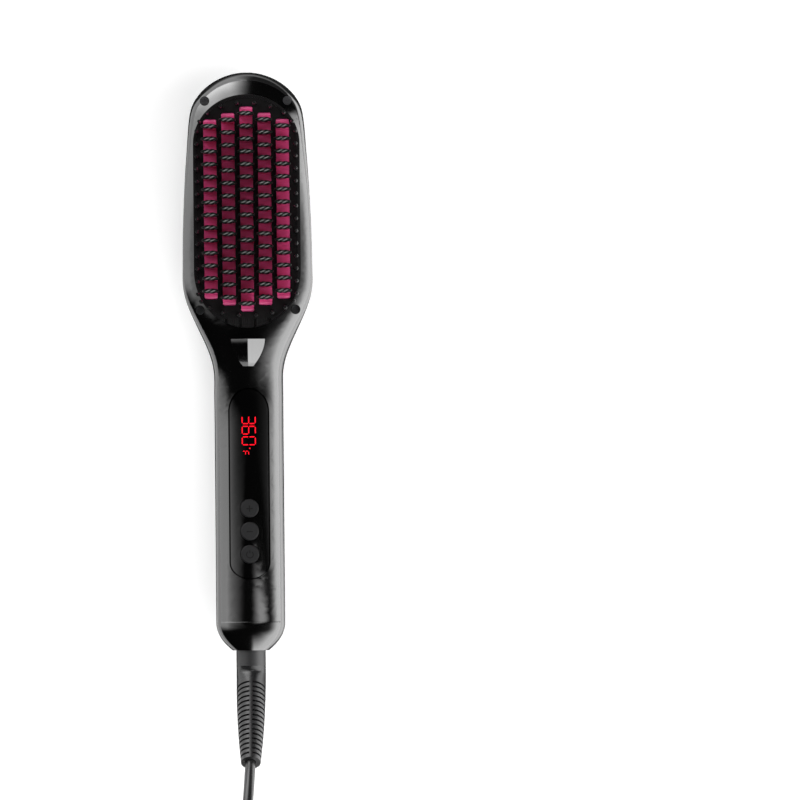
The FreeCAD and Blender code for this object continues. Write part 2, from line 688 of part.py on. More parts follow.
# ---------------------------------------------------------------- shells
def front_housing():
    cavity = half_form(1, INNER_START, size.cap_at + 1, size.wall, OVERLAP)
    shell = front_form.cut(cavity)
    bosses = [upright(x, at, size.boss_level, size.boss_radius, size.rim_level) for x, at in SCREWS]
    for x, at in BOARD_SCREWS:
        boss = Part.makeCylinder(size.board_boss_radius, size.board_depth)
        boss.Placement = on_panel(x, at, size.board_depth)
        bosses.append(boss)
    inside = half_form(1, INNER_START, size.cap_at, size.wall / 2, OVERLAP)
    shell = shell.fuse([boss.common(inside) for boss in bosses])
    cuts = [opening(0, size.clear_level, size.fit_gap)]
    for x, at in SCREWS:
        cuts.append(upright(x, at, size.recess_level, size.recess_radius, size.clear_level))
        cuts.append(upright(x, at, 0, size.shank_radius + 0.2, size.clear_level))
    for x, at in BOARD_SCREWS:
        hole = Part.makeCylinder(size.board_shank_radius + size.thread_gap, size.board_screw_length + 0.5)
        hole.Placement = on_panel(x, at, size.board_depth)
        cuts.append(hole)
    cuts.append(upright(0, size.steam_hole_at, 0, size.steam_hole_radius, size.clear_level))
    for at in KEY_PLACES:
        hole = Part.makeCylinder(size.key_radius + size.key_gap, 20)
        hole.Placement = on_panel(0, at, 10)
        cuts.append(hole)
    cuts.append(brick(size.display_half + 0.2, size.display_at - 0.2,
                      size.display_at + size.display_length + 0.2, 0, size.clear_level))
    return shell.cut(cuts).cut(lens_space(size.fit_gap, size.clear_level))


def lens_space(extra, top):
    """The inlay's outline, from its depth below the front surface upwards."""
    tool = oval(size.lens_half, size.lens_at, size.lens_end_at, size.lens_round, size.lens_end_round,
                0, top, extra)
    below = half_form(1, size.lens_at - 6, size.lens_end_at + 6, size.lens_thickness, size.seam_high_at)
    return tool.cut(below)


def control_lens():
    lens = lens_space(0, size.clear_level).common(half_form(1, size.lens_at - 5, size.lens_end_at + 5))
    holes = []
    for at in KEY_PLACES:
        hole = Part.makeCylinder(size.key_radius + size.key_gap, 20)
        hole.Placement = on_panel(0, at, 10)
        holes.append(hole)
    return lens.cut(holes)


LATCH_SLOT_END = size.latch_at + size.latch_length + size.latch_travel + size.latch_gap
SKIRT_HALF = size.latch_half + size.skirt_margin
SKIRT_START = size.latch_at - size.skirt_margin
SKIRT_END = size.latch_at + size.latch_length + size.skirt_margin
POCKET_END = SKIRT_END + size.spring_length
POCKET_TOP = size.skirt_level + size.skirt_thickness + size.latch_gap


def latch_pocket(extra=0.0):
    return brick(SKIRT_HALF + size.latch_gap + extra, SKIRT_START - size.latch_gap - extra,
                 POCKET_END + extra, 0, POCKET_TOP + extra)


def rear_housing():
    bay = size.tank_gap + size.bay_wall
    outside = rear_form.cut([tank_space(size.tank_gap), cover_space(0), latch_pocket()])
    cavity = half_form(-1, INNER_START, size.cap_at + 1, size.wall, OVERLAP)
    cavity = cavity.cut([tank_space(bay), cover_space(size.bay_wall), latch_pocket(size.bay_wall)])
    shell = outside.cut(cavity)
    bosses = [upright(x, at, size.tank_level + bay - 1, size.boss_radius, size.boss_level) for x, at in SCREWS]
    inside = half_form(-1, INNER_START, size.cap_at, size.wall / 2, OVERLAP)
    shell = shell.fuse([boss.common(inside) for boss in bosses])
    cuts = [upright(0, size.valve_at, 0, size.inlet_radius, 12)]
    pilot = size.shank_radius + size.thread_gap
    cuts += [upright(x, at, size.recess_level - size.screw_length, pilot, size.clear_level) for x, at in SCREWS]
    return shell.cut(cuts)


def handle_back_cover():
    cover = rear_form.common(cover_space(0))
    slot = brick(size.latch_half + size.latch_gap, size.latch_at - size.latch_gap, LATCH_SLOT_END, -5, 20)
    return cover.cut(slot)


def whole_section(at):
    """The whole section across the brush, as one closed wire."""
    return Part.Wire([half_section(at, side, 0, 0).Edges[0] for side in (1, -1)])


def end_cap():
    seam, end = size.cap_at, size.body_length
    steps = (0, 0.17, 0.42, 0.62, 0.8, 0.92, 1)
    cap = Part.makeLoft([whole_section(seam + step * (end - seam)) for step in steps], True, False)
    axis = Vector(0, -1, 0)
    chamber = Part.makeCylinder(size.socket_room, end - size.collar_in - seam + 0.3,
                                side_spot(seam, size.cord_level), axis)
    hole = Part.makeCylinder(size.sleeve_radius + size.running_gap, end - seam + 2,
                             side_spot(seam, size.cord_level), axis)
    return cap.cut([chamber, hole])


piece(feature("front_housing_form", front_housing()), "front_housing")
piece(feature("rear_housing_form", rear_housing()), "rear_housing")
piece(feature("end_cap_form", end_cap()), "end_cap")
piece(feature("control_lens_form", control_lens()), "control_lens")
piece(feature("handle_back_cover_form", handle_back_cover()), "handle_back_cover")


# ---------------------------------------------------------------- comb
def column_rows(column):
    """Places of a column's blades: each column further out has one blade less and starts half a pitch later."""
    out = abs(column)
    first = size.first_row_at + out * size.row_pitch / 2
    return [first + row * size.row_pitch for row in range(int(size.middle_rows) - out)]


COLUMNS = range(-int(size.side_columns), int(size.side_columns) + 1)
PLATE_TOP = size.frame_level - size.frame_thickness
PLATE_FOOT = PLATE_TOP - size.plate_thickness


def column_bar(column, level, top, extra=0.0):
    rows = column_rows(column)
    half = size.column_width / 2 + extra
    over = size.column_over + extra
    return oval_at(column * size.column_pitch, half, rows[0] - over, rows[-1] + over, level, top)


def oval_at(x, half, start, end, level, top):
    """Upright bar with small rounded corners."""
    bar = Part.makeBox(2 * half, end - start, top - level, Vector(x - half, y_at(end), level))
    upright_edges = [edge for edge in bar.Edges if abs(edge.tangentAt(edge.FirstParameter).z) > 0.9]
    return bar.makeFillet(min(1.2, half / 3), upright_edges)


def pin_places():
    """Places of the pins round the comb: two straight sides and two half ellipses."""
    places = []
    steps = int(size.side_pins) - 1
    for step in range(steps + 1):
        at = size.pin_side_at + (size.pin_side_end_at - size.pin_side_at) * step / steps
        places += [(side * size.pin_half, at) for side in (1, -1)]
    for start, end in ((size.pin_side_at, size.pin_top_at), (size.pin_side_end_at, size.pin_end_at)):
        count = int(size.arc_pins)
        for step in range(1, count + 1):
            angle = math.pi * step / (count + 1)
            places.append((size.pin_half * math.cos(angle), start + (end - start) * math.sin(angle)))
    return places


def comb_frame():
    plate = opening(PLATE_TOP, size.frame_level)
    wall = opening(size.frame_foot_level, size.rim_level).cut(
        opening(size.frame_foot_level - 1, size.rim_level + 1, -size.rim_width))
    frame = wall.fuse(plate)
    slots = [column_bar(column, PLATE_TOP - 1, size.frame_level + 1, size.fit_gap) for column in COLUMNS]
    for step in (-1.5, -0.5, 0.5, 1.5):
        slots.append(brick(size.notch_width / 2, size.opening_end_at - size.notch_length,
                           size.opening_end_at + 1, size.frame_level - 1.6, size.rim_level + 1,
                           step * size.notch_pitch))
    return frame.cut(slots)


def edge_pins():
    """Slender pins with six sides, standing on the plate just clear of the rim's inner wall."""
    rings = [ring(level, radius, 6) for radius, level in
             ((size.pin_radius, size.frame_level), (size.pin_tip_radius, size.pin_level))]
    pin = Part.makeLoft(rings, True, True)
    rim = opening(size.frame_foot_level, size.rim_level + size.pin_gap)
    rim = rim.cut(opening(size.frame_foot_level - 1, size.rim_level + 1, -size.rim_width - size.pin_gap))
    pins = []
    for x, at in pin_places():
        spot = Vector(x, y_at(at), 0)
        pins.append(pin.translated(spot).cut(rim))
    return Part.makeCompound([solid for shape in pins for solid in shape.Solids])


def ring(level, radius, sides):
    """Level regular outline with few sides round the Z axis."""
    angles = [2 * math.pi * step / sides for step in range(sides)]
    spots = [Vector(radius * math.cos(angle), radius * math.sin(angle), level) for angle in angles]
    return Part.makePolygon(spots + spots[:1])


def slab(half, thickness, level):
    """Level rectangle round the Z axis, as a wire."""
    deep = thickness / 2
    spots = [Vector(-half, -deep, level), Vector(half, -deep, level), Vector(half, deep, level),
             Vector(-half, deep, level)]
    return Part.makePolygon(spots + spots[:1])


def column_shape(column):
    """A column's bar with all its blades, extruded across the column."""
    root, edge = size.blade_root / 2, size.blade_edge / 2
    rows = column_rows(column)
    start, end = rows[0] - size.column_over, rows[-1] + size.column_over
    low, top, tip = PLATE_TOP - 0.5, size.column_level, size.blade_level
    spots = [side_spot(start, low), side_spot(start, top - 1.2), side_spot(start + 0.5, top - 0.3),
             side_spot(start + 1.3, top)]
    for at in rows:
        spots += [side_spot(at - root, top), side_spot(at - edge, tip),
                  side_spot(at + edge, tip), side_spot(at + root, top)]
    spots += [side_spot(end - 1.3, top), side_spot(end - 0.5, top - 0.3), side_spot(end, top - 1.2),
              side_spot(end, low)]
    side_face = Part.Face(Part.makePolygon(spots + spots[:1]))
    side_face.translate(Vector(column * size.column_pitch - size.column_width / 2, 0, 0))
    bar = column_bar(column, low - 1, tip + 1)
    return side_face.extrude(Vector(size.column_width, 0, 0)).common(bar)


def heater_comb():
    half = size.side_columns * size.column_pitch + size.column_width / 2 + size.plate_margin
    rows = column_rows(0)
    over = size.column_over + size.fit_gap
    plate = oval(half, rows[0] - over, rows[-1] + over, 9, 9, PLATE_FOOT, PLATE_TOP)
    plate = plate.common(opening(0, size.clear_level, -size.rim_width))
    return plate.fuse([column_shape(column) for column in COLUMNS])


def bristle_cap():
    """Cap over a blade: widest a third of the way up, drawn in to a narrow crest with a dip in its middle."""
    top = size.cap_tip_level
    middle = size.cap_foot_level + (top - size.cap_foot_level) / 3
    half, deep = size.cap_width / 2, size.cap_thickness / 2
    wires = [slab(half - 0.7, size.blade_edge + 0.6, size.cap_foot_level),
             slab(half, size.cap_thickness, middle),
             slab(size.cap_tip_width / 2, 0.5, top)]
    cap = Part.makeLoft(wires, True, True)
    dip_half = size.cap_tip_width / 4
    spots = [Vector(-dip_half, -deep, top + 0.01), Vector(dip_half, -deep, top + 0.01),
             Vector(0, -deep, top - size.cap_tip_dip)]
    dip = Part.Face(Part.makePolygon(spots + spots[:1])).extrude(Vector(0, 2 * deep, 0))
    root, edge, width = size.blade_root / 2, size.blade_edge / 2, size.column_width / 2
    low, tip = size.column_level, size.blade_level
    spots = [Vector(-width, -root, low), Vector(-width, -edge, tip), Vector(-width, edge, tip),
             Vector(-width, root, low)]
    blade = Part.Face(Part.makePolygon(spots + spots[:1])).extrude(Vector(2 * width, 0, 0))
    return cap.cut([dip, blade])


piece(feature("comb_frame_form", comb_frame()), "comb_frame")
piece(feature("edge_pins_form", edge_pins()), "edge_pins")
piece(feature("heater_comb_form", heater_comb()), "heater_comb")
cap_spots = [Placement(Vector(column * size.column_pitch, y_at(at), 0), Rotation())
             for column in COLUMNS for at in column_rows(column)]
piece(copies("bristle_caps_group", bristle_cap(), cap_spots), "bristle_caps")

# ---------------------------------------------------------------- heater stack under the comb
PLATE_FOOT_TEXT = "(frame_level - frame_thickness - plate_thickness)"
element = box("element_block", "0", along("element_at"), PLATE_FOOT_TEXT + " - element_thickness",
              "2 * element_half", "element_end_at - element_at", "element_thickness")
piece(element, "heating_element")
CLAMP_FOOT = PLATE_FOOT_TEXT + " - element_thickness - clamp_thickness"
strip = box("clamp_strip", "0", along("element_at - 6"), CLAMP_FOOT,
            "2 * clamp_half", "element_end_at - element_at + 12", "clamp_thickness")
upper_lug = box("clamp_upper_lug", "0", along("element_at - 6"), CLAMP_FOOT,
                "2 * clamp_half", "clamp_thickness", "element_thickness + clamp_thickness")
lower_lug = box("clamp_lower_lug", "0", along("element_end_at + 6 - clamp_thickness"), CLAMP_FOOT,
                "2 * clamp_half", "clamp_thickness", "element_thickness + clamp_thickness")
piece(fused("clamp_whole", strip, upper_lug, lower_lug), "heater_clamp")
insulator = opening(size.frame_foot_level - size.insulator_thickness, size.frame_foot_level, -0.05)
piece(feature("insulator_form", insulator), "insulator")
fuse = rod("fuse_can", "element_half + 1.5 + fuse_radius", along("60"), PLATE_FOOT_TEXT + " - fuse_radius",
           "fuse_radius", "fuse_length")
piece(fuse, "thermal_fuse")
sensor = rod("sensor_bead", "-element_half - 1.5 - sensor_radius", along("70"),
             PLATE_FOOT_TEXT + " - sensor_radius", "sensor_radius", "sensor_length")
piece(sensor, "thermistor")


# ---------------------------------------------------------------- head screws
def cross_screw(name, length, shank, head, height):
    """Screw with a countersunk cross, standing with its head's top at z = 0."""
    body = turned(name, [("0", "0"), (head, "0"), (head, "-" + height), (shank, "-" + height),
                         (shank, "-%s - %s" % (height, length)), ("0", "-%s - %s" % (height, length))],
                  None)
    cross = body.newObject("Sketcher::SketchObject", name + "_cross")
    cross.AttachmentSupport = [(plane(body, "XY_Plane"), "")]
    cross.MapMode = "FlatFace"
    arm, deep = "(%s * 0.7)" % head, "(%s * 0.17)" % head
    corners = [(arm, deep), (deep, deep), (deep, arm), ("-" + deep, arm), ("-" + deep, deep),
               ("-" + arm, deep), ("-" + arm, "-" + deep), ("-" + deep, "-" + deep),
               ("-" + deep, "-" + arm), (deep, "-" + arm), (deep, "-" + deep), (arm, "-" + deep)]
    outline(cross, corners)
    pocket = body.newObject("PartDesign::Pocket", name + "_slot")
    pocket.Profile = cross
    pocket.setExpression("Length", expression("%s * 0.5" % height))
    body.Tip = pocket
    return body


head_screw = cross_screw("head_screw", "(screw_length - 0.5)", "shank_radius", "screw_head_radius",
                         "screw_head_height")
board_screw = cross_screw("board_screw", "board_screw_length", "board_shank_radius", "board_head_radius",
                          "board_head_height")
doc.recompute()
screw_top = size.recess_level + size.screw_head_height
piece(copies("head_screws_group", head_screw.Shape,
             [Placement(Vector(x, y_at(at), screw_top), Rotation()) for x, at in SCREWS]), "head_screws")


# ---------------------------------------------------------------- nozzle
def nozzle_shape(inset):
    """Hood with a ridge: the outline and the ridge fall to the tip in the same curve."""
    wires = []
    steps = 6
    for step in range(steps + 1):
        share = 0.985 * step / steps
        start = size.nozzle_at - (2.0 if inset else 0)
        at = start + share * (size.nozzle_at + size.nozzle_length - start)
        fullness = 1 - (max(at - size.nozzle_at, 0) / size.nozzle_length) ** size.nozzle_power
        half = size.nozzle_half * fullness - inset
        rise = size.nozzle_height * fullness - inset * 1.3
        if half < 0.6 or rise < 0.3:
            break
        foot = front_level(at) - 3.0
        top = front_level(at) + rise
        shoulder = front_level(at) + 0.12 * rise
        y = y_at(at)
        spots = [Vector(-half, y, foot), Vector(-half, y, shoulder), Vector(0, y, top),
                 Vector(half, y, shoulder), Vector(half, y, foot)]
        wires.append(Part.makePolygon(spots + spots[:1]))
    return Part.makeLoft(wires, True, False)


def steam_nozzle():
    local = half_form(1, size.nozzle_at - 8, size.nozzle_at + size.nozzle_length + 8)
    return nozzle_shape(0).cut(nozzle_shape(size.nozzle_wall)).cut(local)


piece(feature("steam_nozzle_form", steam_nozzle()), "steam_nozzle")

# ---------------------------------------------------------------- keys, switches, board and display
key_top, key_foot = "key_proud", "-(wall + 0.5 + key_flange_thickness)"
KEY_PROFILE = [("0", key_foot), ("key_radius + key_flange", key_foot),
               ("key_radius + key_flange", key_foot + " + key_flange_thickness"),
               ("key_radius", key_foot + " + key_flange_thickness"), ("key_radius", key_top + " - 0.5"),
               ("key_radius - 0.5", key_top), ("0", key_top)]
for name, at in zip(("button_plus", "button_minus", "button_power"), KEY_PLACES):
    key = turned(name + "_body", KEY_PROFILE, None)
    key.Placement = on_panel(0, at, 0)
    piece(key, name)

switch_gap = size.wall + 0.5 + size.key_flange_thickness + 0.1 + size.key_travel
doc.recompute()


def key_switches():
    """Three tact switches: a square case on the board and a round plunger under the key."""
    half, depth = size.switch_width / 2, size.board_depth
    top = -(switch_gap - size.key_travel)
    switches = []
    for at in KEY_PLACES:
        case = Part.makeBox(2 * half, 2 * half, size.switch_height, Vector(-half, -half, -depth))
        plunger = Part.makeCylinder(size.plunger_radius, top - size.key_travel - 0.05 + depth,
                                    Vector(0, 0, -depth))
        switch = case.fuse(plunger)
        switch.Placement = on_panel(0, at, 0)
        switches.append(switch)
    return Part.makeCompound(switches)


piece(feature("key_switches_group", key_switches()), "key_switches")


def main_board():
    length = size.board_end_at - size.board_at
    board = Part.makeBox(2 * size.board_half, length, size.board_thickness,
                         Vector(-size.board_half, 0, -size.board_thickness))
    board.Placement = on_panel(0, size.board_end_at, size.board_depth)
    holes = []
    for x, at in BOARD_SCREWS:
        hole = Part.makeCylinder(size.board_shank_radius + 0.2, 3 * size.board_thickness)
        hole.Placement = on_panel(x, at, size.board_depth + 2 * size.board_thickness)
        holes.append(hole)
    return board.cut(holes)


piece(feature("main_board_form", main_board()), "main_board")
upside_down = Rotation(Vector(1, 0, 0), 180)
piece(copies("board_screws_group", board_screw.Shape,
             [on_panel(x, at, size.board_depth + size.board_thickness + size.board_head_height).multiply(
                 Placement(Vector(), upside_down)) for x, at in BOARD_SCREWS]), "board_screws")


def display_module():
    """Digit block just under the lens, with a foot on the board."""
    half, length, foot = size.display_half, size.display_length, size.display_foot
    lift = size.board_depth - size.display_depth
    block = Part.makeBox(2 * half, length, 20, Vector(-half, 0, lift))
    stand = Part.makeBox(2 * half, foot, lift + 1, Vector(-half, 0, 0))
    block = block.fuse(stand)
    block.Placement = on_panel(0, size.display_at + length, size.board_depth)
    below = half_form(1, size.lens_at, size.lens_end_at, size.display_gap, size.seam_high_at)
    return block.common(below)


piece(feature("display_module_form", display_module()), "display_module")


# ---------------------------------------------------------------- tank
def lid_outline(extra, level, top):
    return oval(size.lid_half, size.lid_at, size.lid_end_at, size.lid_round, size.lid_round, level, top, extra)


def water_tank():
    """Dish with a hollow and a seat for its lid."""
    solid = rear_form.common(tank_space(0))
    hollow = half_form(-1, size.tank_at + size.tank_wall, size.tank_end_at, size.tank_wall)
    hollow = hollow.common(tank_space(-size.tank_wall))
    return solid.cut(hollow).cut(lid_outline(size.fit_gap, size.tank_level - size.lid_thickness - 0.5, 20))


def tank_lid():
    lid = lid_outline(0, size.tank_level - size.lid_thickness, size.tank_level)
    plug_hole = upright(0, size.tank_plug_at, 0, size.tank_plug_radius - 1, 20)
    valve_hole = upright(0, size.valve_at, 0, size.valve_radius, 20)
    return lid.cut([plug_hole, valve_hole])


piece(feature("water_tank_form", water_tank()), "water_tank")
piece(feature("tank_lid_form", tank_lid()), "tank_lid")
tank_plug = turned("tank_plug_body",
                   [("0", "-lid_thickness - 1.6"), ("tank_plug_radius - 1", "-lid_thickness - 1.6"),
                    ("tank_plug_radius - 1", "0"), ("0", "0")],
                   ("0", along("tank_plug_at"), "tank_level"))
piece(tank_plug, "tank_plug")
tank_valve = turned("tank_valve_body", [("0", "-lid_thickness - 2"), ("valve_radius", "-lid_thickness - 2"),
                                        ("valve_radius", "0"), ("spigot_radius", "0"),
                                        ("spigot_radius", "spigot_height"), ("0", "spigot_height")],
                    ("0", along("valve_at"), "tank_level"))
piece(tank_valve, "tank_valve")
# the inlet hangs in the bay's floor and holds the spigot with a running fit
BAY = "(tank_level + tank_gap)"
inlet = turned("water_inlet_body",
               [("spigot_radius + running_gap", "0"), ("inlet_radius", "0"),
                ("inlet_radius", "bay_wall + inlet_height"), ("0", "bay_wall + inlet_height"),
                ("0", "spigot_height + 0.4"), ("spigot_radius + running_gap", "spigot_height + 0.4")],
               ("0", along("valve_at"), BAY))
piece(inlet, "water_inlet")


# ---------------------------------------------------------------- latch
def tank_latch():
    start, end = size.latch_at, size.latch_at + size.latch_length
    thumb = brick(size.latch_half, start, end, size.latch_foot_level, size.skirt_level + 0.2)
    skirt = brick(SKIRT_HALF, SKIRT_START, SKIRT_END, size.skirt_level,
                  size.skirt_level + size.skirt_thickness)
    ribs = []
    for step in range(int(size.rib_count)):
        at = size.rib_at + step * size.rib_pitch
        spots = [side_spot(at - 1.1, size.latch_foot_level + 0.2), side_spot(at, size.rib_level),
                 side_spot(at + 1.1, size.latch_foot_level + 0.2)]
        rib = Part.Face(Part.makePolygon(spots + spots[:1])).extrude(Vector(2 * size.latch_half - 2, 0, 0))
        rib.translate(Vector(1 - size.latch_half, 0, 0))
        ribs.append(rib)
    return thumb.fuse([skirt] + ribs)


piece(feature("tank_latch_form", tank_latch()), "tank_latch")


def latch_spring():
    """Compression spring between the skirt's tail and the end of its pocket."""
    wire = size.spring_wire
    pitch = (size.spring_length - 2 * wire) / size.spring_turns
    middle = size.spring_radius - wire
    helix = Part.makeHelix(pitch, size.spring_length - 2 * wire, middle)
    profile = Part.Wire([Part.makeCircle(wire, Vector(middle, 0, 0), Vector(0, 1, 0))])
    spring = Part.Wire(helix.Edges).makePipeShell([profile], True, True)
    spring.Placement = Placement(Vector(0, y_at(SKIRT_END + wire), POCKET_TOP - size.spring_radius - 0.05),
                                 Rotation(Vector(1, 0, 0), 90))
    return spring


piece(feature("latch_spring_form", latch_spring()), "latch_spring")


# ---------------------------------------------------------------- routes of tubes, leads and the cord
def bend_radii(points):
    """Each bend's radius: 0.45 of its shorter run over the tangent of half its turn."""
    radii = []
    for before, corner, after in zip(points, points[1:], points[2:]):
        turn = (corner - before).getAngle(after - corner)
        shorter = min(before.distanceToPoint(corner), corner.distanceToPoint(after))
        radii.append(0.45 * shorter / math.tan(turn / 2))
    return radii


def route_path(points):
    """Straight runs joined by tangent arcs."""
    edges, last = [], points[0]
    for before, corner, after, radius in zip(points, points[1:], points[2:], bend_radii(points)):
        inward, outward = (corner - before).normalize(), (after - corner).normalize()
        reach = radius * math.tan(inward.getAngle(outward) / 2)
        start, end = corner - inward * reach, corner + outward * reach
        to_centre = (outward - inward).normalize()
        half_turn = inward.getAngle(outward) / 2
        middle = corner + to_centre * (radius / math.cos(half_turn) - radius)
        edges += [Part.makeLine(last, start), Part.Arc(start, middle, end).toShape()]
        last = end
    edges.append(Part.makeLine(last, points[-1]))
    return Part.Wire(edges)


def tube(points, radius, report=None):
    path = route_path(points)
    profile = Part.Wire([Part.makeCircle(radius, points[0], points[1] - points[0])])
    solid = path.makePipeShell([profile], True, False)
    share = solid.Volume / (math.pi * radius ** 2 * path.Length)
    if report:
        print("%s: length %.0f mm, volume / (section x length) %.3f, radii %s" % (
            report, path.Length, share, " ".join("%.0f" % bend for bend in bend_radii(points))))
    return solid


# ---------------------------------------------------------------- water and steam
pump_case = rod("pump_case", "-pump_side", along("pump_at"), "pump_level", "pump_radius", "pump_length")
ports = [rod("pump_port_%d" % (side > 0), "-pump_side + %d * port_side" % side, along("pump_at - 4"),
             "pump_level", "port_radius", "5") for side in (1, -1)]
piece(fused("pump_whole", pump_case, *ports), "pump")
chamber = box("chamber_block", "0", along("chamber_at"), "chamber_level",
              "2 * chamber_half", "chamber_length", "chamber_height")
piece(chamber, "steam_chamber")
chamber_top = size.chamber_level + size.chamber_height
duct_top = front_level(size.steam_hole_at) - 0.6
duct = upright(0, size.steam_hole_at, chamber_top, size.steam_hole_radius, duct_top)
duct = duct.cut(upright(0, size.steam_hole_at, 0, size.steam_hole_radius - 1, size.clear_level))
piece(feature("steam_tube_form", duct), "steam_tube")
INLET_TOP = size.tank_level + size.tank_gap + size.bay_wall + size.inlet_height
FEED_X, PRESSURE_X = -size.pump_side - size.port_side, -size.pump_side + size.port_side
port_y = y_at(size.pump_at - 4)
feed = tube([Vector(0, y_at(size.valve_at + size.inlet_radius), INLET_TOP - 2),
             Vector(-1, y_at(size.valve_at + 16), INLET_TOP - 1.7),
             Vector(FEED_X + 1, y_at(size.pump_at - 20), size.pump_level + 0.2),
             Vector(FEED_X, port_y, size.pump_level)], size.tube_radius)
piece(feature("feed_tube_form", feed), "feed_tube")
pressure = tube([Vector(PRESSURE_X, port_y, size.pump_level),
                 Vector(PRESSURE_X, port_y + 5, size.pump_level),
                 Vector(PRESSURE_X, port_y + 8, size.chamber_level)], size.tube_radius)
pressure = pressure.cut(brick(20, size.chamber_at, size.pump_at, size.chamber_level, 30))
piece(feature("pressure_tube_form", pressure), "pressure_tube")

# ---------------------------------------------------------------- swivel, strain relief and cord
CAP_END = along("body_length")
sleeve = turned("swivel_sleeve_body",
                [("sleeve_bore", "sleeve_out"), ("sleeve_radius", "sleeve_out"),
                 ("sleeve_radius", "-collar_in"), ("collar_radius", "-collar_in"),
                 ("collar_radius", "-collar_in - collar_thickness"),
                 ("sleeve_bore", "-collar_in - collar_thickness")],
                ("0", CAP_END, "cord_level"), TOWARDS_CORD)
piece(sleeve, "swivel_sleeve")
SOCKET_FACE = "-collar_in - collar_thickness - 0.3"
socket = turned("swivel_socket_body",
                [("0", SOCKET_FACE + " - socket_length"), ("socket_radius", SOCKET_FACE + " - socket_length"),
                 ("socket_radius", SOCKET_FACE), ("contact_radius", SOCKET_FACE),
                 ("contact_radius", SOCKET_FACE + " + contact_length"),
                 ("0", SOCKET_FACE + " + contact_length")],
                ("0", CAP_END, "cord_level"), TOWARDS_CORD)
piece(socket, "swivel_socket")

lean = math.radians(size.relief_angle)
relief_way = Vector(0, -math.cos(lean), math.sin(lean))
relief_up = Vector(0, math.sin(lean), math.cos(lean))
SLEEVE_END = size.body_length + size.sleeve_out
knee_reach = size.relief_bend * math.tan(lean / 2)
bend_at = side_spot(SLEEVE_END + size.relief_straight + knee_reach, size.cord_level)
relief_end = bend_at + relief_way * size.relief_length
relief_total = size.relief_straight + size.relief_bend * lean + size.relief_length - knee_reach


def relief_share(past_knee):
    """0 where the relief starts to taper, 1 at its end; the distance counts from its middle line's corner."""
    taper = relief_total - size.relief_straight
    return max(past_knee - size.relief_length + taper, 0.0) / taper


def relief_half(past_knee):
    """Half width of the strain relief."""
    return size.sleeve_radius + (size.relief_end_half - size.sleeve_radius) * relief_share(past_knee) ** 2.3


def relief_rise(past_knee):
    """Half height of the strain relief."""
    return size.sleeve_radius + (size.relief_end_height - size.sleeve_radius) * relief_share(past_knee)


def relief_section(distance):
    """Oval section of the strain relief, some way along its bent middle line."""
    arc = size.relief_bend * lean
    straight = size.relief_straight
    start = side_spot(SLEEVE_END, size.cord_level)
    turned_by = min(max((distance - straight) / size.relief_bend, 0.0), lean)
    centre = start + Vector(0, -min(distance, straight), 0)
    centre += Vector(0, -size.relief_bend * math.sin(turned_by), size.relief_bend * (1 - math.cos(turned_by)))
    centre += relief_way * max(distance - straight - arc, 0.0)
    up = Vector(0, math.sin(turned_by), math.cos(turned_by))
    past_knee = distance - relief_total + size.relief_length
    half, rise = relief_half(past_knee), relief_rise(past_knee)
    angles = [math.pi * step / 8 for step in range(16)]
    curve = Part.BSplineCurve()
    curve.interpolate(Points=[centre + up * (rise * math.sin(angle)) + Vector(half * math.cos(angle), 0, 0)
                              for angle in angles], PeriodicFlag=True)
    return Part.Wire([curve.toShape()])


def closed_outline(corners):
    """Closed outline in the plane x = 0 from (at, level, rounding) corners."""
    spots = [side_spot(at, level) for at, level, rounding in corners]
    count = len(spots)
    ends = []
    for index, (at, level, rounding) in enumerate(corners):
        corner = spots[index]
        before = (spots[index - 1] - corner).normalize()
        after = (spots[(index + 1) % count] - corner).normalize()
        half_angle = before.getAngle(after) / 2
        reach = rounding / math.tan(half_angle)
        bisector = (before + after).normalize()
        middle = corner + bisector * (rounding / math.sin(half_angle) - rounding)
        ends.append((corner + before * reach, middle, corner + after * reach))
    edges = []
    for index, (start, middle, end) in enumerate(ends):
        if start.distanceToPoint(end) > 0.01:
            edges.append(Part.Arc(start, middle, end).toShape())
        edges.append(Part.makeLine(end, ends[(index + 1) % count][0]))
    return edges


def relief_slots():
    """Grooves round the slanted part, broken by a spine above, below and on each side."""
    reach, width, spine, depth = 20.0, size.relief_slot_width, size.relief_spine, size.relief_slot_depth
    grooves = []
    for step in range(int(size.relief_slots)):
        distance = size.relief_slot_at + step * size.relief_slot_pitch
        disc = Part.makeCylinder(reach, width, Vector(0, 0, -width / 2))
        core = Part.makeCylinder(1, 3 * width, Vector(0, 0, -1.5 * width))
        matrix = FreeCAD.Matrix()
        matrix.scale(relief_half(distance) - depth, relief_rise(distance) - depth, 1)
        core = core.transformGeometry(matrix)
        upper = Part.makeBox(2 * spine, 2 * reach, 3 * width, Vector(-spine, -reach, -1.5 * width))
        sides = Part.makeBox(2 * reach, 2 * spine, 3 * width, Vector(-reach, -spine, -1.5 * width))
        groove = disc.cut([core, upper, sides])
        groove.Placement = Placement(bend_at + relief_way * distance,
                                     Rotation(Vector(1, 0, 0), relief_up, relief_way, "XZY"))
        grooves.append(groove)
    return grooves


